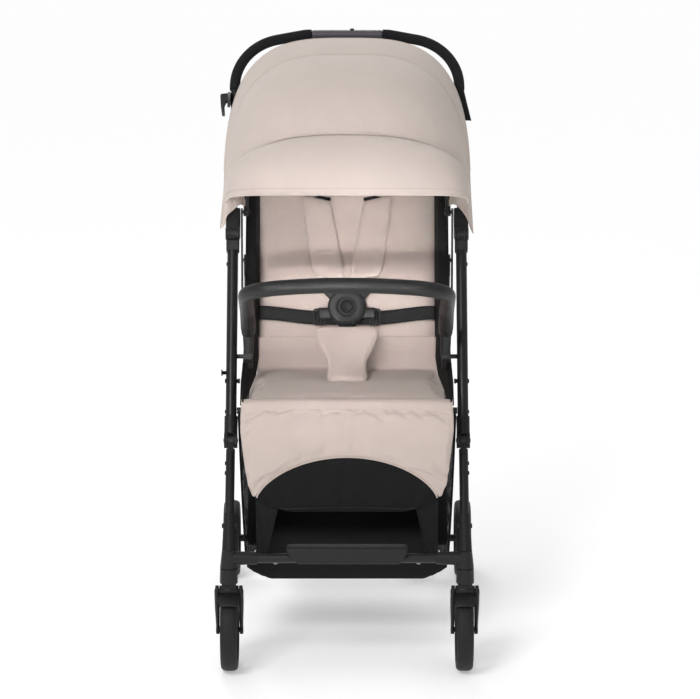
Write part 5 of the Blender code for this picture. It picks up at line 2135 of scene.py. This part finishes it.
        def cloth(across: float, along: float) -> Vector:
            x = 0.0025 - 0.0092 * along + (0.0184 - 0.0037 * along) * across
            curl = 0.0010 * math.sin(across * 3.1) + 0.0006 * math.sin(along * 5.0 + across * 2.0)
            spot = middle + Vector((x, 0, 0)) + HANDLE_UP * (0.031 * (2 * along - 1))
            return spot + HANDLE_FRONT * (0.0088 + curl)

        corners = ((0.06, 0.5), (0.06, 0.06), (0.94, 0.06), (0.94, 0.94), (0.06, 0.94), (0.06, 0.5))
        rim = resampled([cloth(a, b) + HANDLE_FRONT * 0.0008 for a, b in corners], 0.003)
        sewn = stitches("handle_tag_stitches", rim, Look.DARK_THREAD, Body.HANDLE, 0.0022, 0.0003)
        made = Cloth(
            "handle_tag_cloth", Look.DARK_CLOTH, Body.HANDLE, cloth, (14, 30), ["handle_tube"]
        ).build([sewn])
        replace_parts(made, "handle_tag")

    def bumper(self) -> None:
        """Make the covered bumper bar with its sewn seam."""
        foot = BUMPER_PIVOT + Vector((0, -0.006, 0.052))
        front = side(0.022, 0.681)
        half = [
            Vector((-BUMPER_X, foot.y, foot.z)),
            Vector((-BUMPER_X, foot.y - 0.045, foot.z + 0.044)),
            Vector((-BUMPER_X, front.y, front.z)),
        ]
        route = resampled(rounded(mirrored(half), 0.054, 16), 0.005)
        route = [p + Vector((0, 0, 0.0065 * max(0.0, 1 - (p.x / 0.14) ** 2))) for p in route]
        bar = swept("bumper_bar_cover", route, Look.LEATHER, BUMPER_R, 36, dome=0.25)
        lower = []
        for a, here, b in zip(route, route[1:], route[2:]):
            along = (b - a).normalized()
            under = Vector((0, 0.35, -1.0))
            under = (under - along * under.dot(along)).normalized()
            lower.append(here + under * (BUMPER_R - 0.0002))
        ridge = swept("seam", lower[2:-2], Look.LEATHER, 0.0009, 8)
        made = joined("bumper_bar_cover", [bar, ridge], Look.LEATHER)
        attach(made, Body.BUMPER.value)
        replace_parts(made, "bumper_bar")
        up = [p + Vector((0, -0.0012, 0.0022)) for p in lower[3:-3]]
        stitches("bumper_stitches", resampled(up, 0.004), Look.DARK_THREAD, Body.BUMPER, 0.0030, 0.0004)

    def wheels(self) -> None:
        """Make the four wheels: a smooth tyre and a spoked hub each."""
        ends = (("front", FRAME_X, FRONT_AXLE), ("rear", REAR_WHEEL_X, REAR_AXLE))
        spots = [(end, place.label, place.value * x, axle) for end, x, axle in ends for place in Side]
        rim = WHEEL_R - 0.014

        def waist(at: float) -> float:
            return 0.0108 - 0.0035 * math.sin(math.pi * min(1.0, at / 0.033))

        for end, label, x, axle in spots:
            centre = axle + Vector((x, 0, 0))
            tread = [
                (-0.0115, rim + 0.0002), (-0.0122, rim + 0.0020), (-0.0125, WHEEL_R - 0.0075),
                (-0.0120, WHEEL_R - 0.0045), (-0.0098, WHEEL_R - 0.0018), (-0.0066, WHEEL_R - 0.0004),
                (-0.0030, WHEEL_R),
            ]
            profile = [(a * TYRE_WIDEN, r) for a, r in closed(tread)]
            tyre = turned(f"{end}_{label}_tyre_rubber", Look.RUBBER, centre, ACROSS, profile, 96)
            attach(tyre, f"{end}_wheel_{label}")
            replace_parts(tyre, f"{end}_{label}_tyre")
            ring = closed([
                (0.0110, rim), (0.0114, rim - 0.0012), (0.0108, rim - 0.0044), (0.0060, 0.0508),
                (0.0042, 0.0486), (0.0036, 0.0455),
            ])
            boss = closed([(-0.0125, 0.0044), (-0.0125, 0.0150), (-0.0118, 0.0165), (-0.0060, 0.0200)])
            pieces = [
                turned("rim", Look.PLASTIC, centre, ACROSS, ring, 72),
                turned("boss", Look.PLASTIC, centre, ACROSS, boss, 48)
            ]
            for k in range(SPOKES):
                turn = 2 * math.pi * (k + 0.5) / SPOKES
                out = Vector((0, math.cos(turn), math.sin(turn)))
                line = [centre + out * (0.016 + 0.033 * i / 6) for i in range(7)]
                pieces.append(swept("spoke", line, Look.PLASTIC, waist, 20, dome=0.0, up=ACROSS, flat=0.42))
            hub = joined(f"{end}_{label}_hub_plastic", pieces, Look.PLASTIC)
            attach(hub, f"{end}_wheel_{label}")
            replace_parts(hub, f"{end}_{label}_hub")

    @staticmethod
    def forks() -> None:
        """Make the front forks: two arms with round edges, a bridge over the tyre and the axle."""
        reach = (FRONT_AXLE - FORK_BARREL).length
        lift, rise = WHEEL_R + 0.0056, Vector((0, -0.42, 0.91))

        def arm(at: float) -> float:
            return 0.0098 - 0.0034 * smooth(at, 0.02, reach)

        def bridge(at: float) -> float:
            return 0.0190 - 0.0025 * smooth(at, 0.030, 0.043)

        for place in Side:
            shift = ACROSS * (place.value * FRAME_X)
            barrel, axle = FORK_BARREL + shift, FRONT_AXLE + shift
            pieces = []
            for x in (-FORK_ARM_X, FORK_ARM_X):
                off = ACROSS * x
                line = resampled([barrel + off, axle + off], 0.003)
                pieces.append(swept("arm", line, Look.CASTING, arm, 24, up=ACROSS, flat=0.48))
                for spot, radius in ((barrel, 0.0086), (axle, 0.0080)):
                    ring = closed([(-0.0031, 0.0036), (-0.0031, radius - 0.0010), (-0.0022, radius)])
                    pieces.append(turned("eye", Look.CASTING, spot + off, ACROSS, ring, 40))
            arc = [math.radians(99 + 32 * i / 16) for i in range(17)]
            line = [axle + Vector((0, math.cos(a), math.sin(a))) * lift for a in arc]
            pieces.append(swept("bridge", line, Look.CASTING, bridge, 40, dome=0.0, up=rise, flat=0.17))
            line = [axle - ACROSS * 0.0240, axle + ACROSS * 0.0240]
            pieces.append(swept("axle", line, Look.CASTING, 0.0046, 20))
            made = joined(f"front_fork_casting_{place.label}", pieces, Look.CASTING)
            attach(made, f"fork_{place.label}")
            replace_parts(made, f"front_fork_{place.label}")
            ring = closed([(-0.0168, 0.0034), (-0.0168, 0.0083)])
            sleeve = turned(f"caster_barrel_{place.label}", Look.CASTING, barrel, ACROSS, ring, 40)
            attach(sleeve, f"caster_{place.label}")

    def build(self) -> None:
        """Make every finer piece of the frame."""
        self.middle()
        self.cross()
        self.small_parts()
        self.handle()
        self.tag()
        self.bumper()
        self.wheels()
        self.forks()


CAD_LOOKS: dict[str, Look] = {
    "fold_button": Look.PLASTIC,
    "fold_slide": Look.PLASTIC,
    "fold_housing": Look.CASTING,
    "storage_hook": Look.PLASTIC,
    "fold_base": Look.CASTING,
    "knee_joint": Look.CASTING,
    "hinge_plate": Look.TUBE,
    "front_leg": Look.TUBE,
    "corner_casting": Look.CASTING,
    "caster_crown": Look.CASTING,
    "rear_leg": Look.TUBE,
    "rear_axle": Look.TUBE,
    "brake_pedal": Look.PLASTIC,
    "seat_frame": Look.TUBE,
    "backrest_frame": Look.TUBE,
    "bumper_bracket": Look.PLASTIC,
}


def dress(nodes: dict[str, bpy.types.Object]) -> None:
    """Paint the CAD pieces that stay in sight and ease their edges.

    Args:
        nodes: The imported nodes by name.
    """
    for name, obj in nodes.items():
        look = next((look for start, look in CAD_LOOKS.items() if name.startswith(start)), None)
        if look is None:
            continue
        obj.data.materials.clear()
        obj.data.materials.append(material(look))
        weld = obj.modifiers.new("weld", "WELD")
        weld.merge_threshold = 1e-5
        ease = obj.modifiers.new("ease", "BEVEL")
        ease.width = 0.0005
        ease.segments = 2
        ease.limit_method = "ANGLE"
        ease.angle_limit = math.radians(40)
        ease.use_clamp_overlap = True
        even = obj.modifiers.new("even", "WEIGHTED_NORMAL")
        even.keep_sharp = False
        for polygon in obj.data.polygons:
            polygon.use_smooth = True


class Studio:
    """The white sweep, its light and the camera that took the photograph."""

    WIDTH, HEIGHT = 1400, 1398
    LENS, SENSOR = 175.1, 36.0
    CAMERA = (0.0053, -5.958, 1.997)
    TILT = 76.0
    WORLD = 0.46

    def sweep(self) -> None:
        """Lay a floor that glows: painted light lifts it near the stroller, and far off it glows evenly
        white into the background.
        """
        shape = Shape()
        wide, deep = 18.0, 18.5
        shape.grid(2, 2, lambda u, v: Vector((wide * (u - 0.5), deep * v - 4.5, 0.0)), (wide, deep))
        made = shape.made("studio_floor", Look.FOOTREST)
        made.data.materials.clear()
        paper = bpy.data.materials.new("studio_paper")
        paper.use_nodes = True
        tree = paper.node_tree
        surface = tree.nodes["Principled BSDF"]
        surface.inputs["Roughness"].default_value = 0.9
        surface.inputs["Specular IOR Level"].default_value = 0.1
        surface.inputs["Emission Strength"].default_value = 1.0
        parts = tree.nodes.new("ShaderNodeSeparateXYZ")
        tree.links.new(coordinate(tree, "Object"), parts.inputs[0])
        fade = tree.nodes.new("ShaderNodeMapRange")
        fade.interpolation_type = "SMOOTHERSTEP"
        fade.inputs["From Min"].default_value = 0.2
        fade.inputs["From Max"].default_value = 3.6
        tree.links.new(parts.outputs[1], fade.inputs["Value"])
        share = Shade(tree, fade.outputs[0])
        # Emission Color is painted light: a faint glow on top of the lamp light near the stroller, rising to
        # an even white glow far off.
        for slot, near, far in (
            ("Base Color", (0.90, 0.90, 0.905, 1), (0.05, 0.05, 0.05, 1)),
            ("Emission Color", (0.34, 0.34, 0.34, 1), (0.95, 0.95, 0.95, 1)),
        ):
            mix = tree.nodes.new("ShaderNodeMix")
            mix.data_type = "RGBA"
            mix.inputs["A"].default_value = near
            mix.inputs["B"].default_value = far
            share.feed(mix.inputs["Factor"])
            tree.links.new(mix.outputs["Result"], surface.inputs[slot])
        made.data.materials.append(paper)
        made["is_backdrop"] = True

    @staticmethod
    def lamp(
        name: str, place: tuple[float, float, float], size: float, power: float, aim: float = 0.5,
        beam: float = 180.0
    ) -> None:
        """Hang an area light that faces the stroller.

        Args:
            name: Its name.
            place: Where it hangs.
            size: Its side, in metres.
            power: Its power, in watts.
            aim: Height that it faces.
            beam: Angle of its beam, in degrees.
        """
        data = bpy.data.lights.new(name, "AREA")
        data.spread = math.radians(beam)
        data.energy, data.size = power, size
        obj = bpy.data.objects.new(name, data)
        obj.location = place
        obj.rotation_euler = (Vector((0, 0, aim)) - Vector(place)).to_track_quat("-Z", "Y").to_euler()
        bpy.context.scene.collection.objects.link(obj)
        obj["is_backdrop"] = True

    def light(self) -> None:
        """Set the world and the lamps."""
        world = bpy.data.worlds.new("studio")
        world.use_nodes = True
        world.node_tree.nodes["Background"].inputs["Color"].default_value = (1.0, 1.0, 1.0, 1)
        world.node_tree.nodes["Background"].inputs["Strength"].default_value = self.WORLD
        bpy.context.scene.world = world
        self.lamp("key", (-1.7, -3.6, 3.5), 1.6, 104.0)
        self.lamp("front", (-0.9, -4.8, 1.2), 2.0, 12.0)
        self.lamp("fill", (2.6, -3.0, 1.8), 2.0, 1.0)
        self.lamp("inner", (-0.3, -3.4, 0.95), 0.3, 0.34, 0.68, 10.0)
        self.lamp("back", (-0.4, 2.6, 3.0), 1.8, 42.0)

    def camera(self) -> None:
        """Set the camera where the photograph was taken."""
        data = bpy.data.cameras.new("camera")
        data.lens, data.sensor_width = self.LENS, self.SENSOR
        data.clip_end = 60.0
        obj = bpy.data.objects.new("camera", data)
        obj.location = self.CAMERA
        obj.rotation_euler = (math.radians(self.TILT), 0.0, 0.0)
        bpy.context.scene.collection.objects.link(obj)
        scene = bpy.context.scene
        scene.camera = obj
        scene.render.resolution_x, scene.render.resolution_y = self.WIDTH, self.HEIGHT
        scene.view_settings.view_transform = "Standard"
        scene.view_settings.look = "None"

    def build(self) -> None:
        """Make the studio."""
        self.sweep()
        self.light()
        self.camera()


def box() -> list[list[float]]:
    """Measure the shown object.

    Returns:
        Its lowest and its highest corner.
    """
    return [[round(value, 5) for value in corner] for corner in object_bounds()]


def write_size(frame: list[list[float]], visual: list[list[float]]) -> None:
    """Write the frame's box and the visual's box.

    Args:
        frame: The box straight after loading.
        visual: The box of the finished scene.
    """
    sides = [[b - a for a, b in zip(*corners)] for corners in (frame, visual)]
    LOG.info("frame %s, visual %s", *([round(1000 * s, 1) for s in row] for row in sides))


def main() -> None:
    """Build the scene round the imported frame."""
    logging.basicConfig(level=logging.INFO)
    for obj in list(bpy.data.objects):
        bpy.data.objects.remove(obj, do_unlink=True)
    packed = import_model()
    frame = box()
    dress(packed["nodes"])
    Frame().build()
    Canopy().build()
    Seat().build()
    Harness().build()
    Basket().build()
    Studio().build()
    write_size(frame, box())


if __name__ == "__main__":
    main()
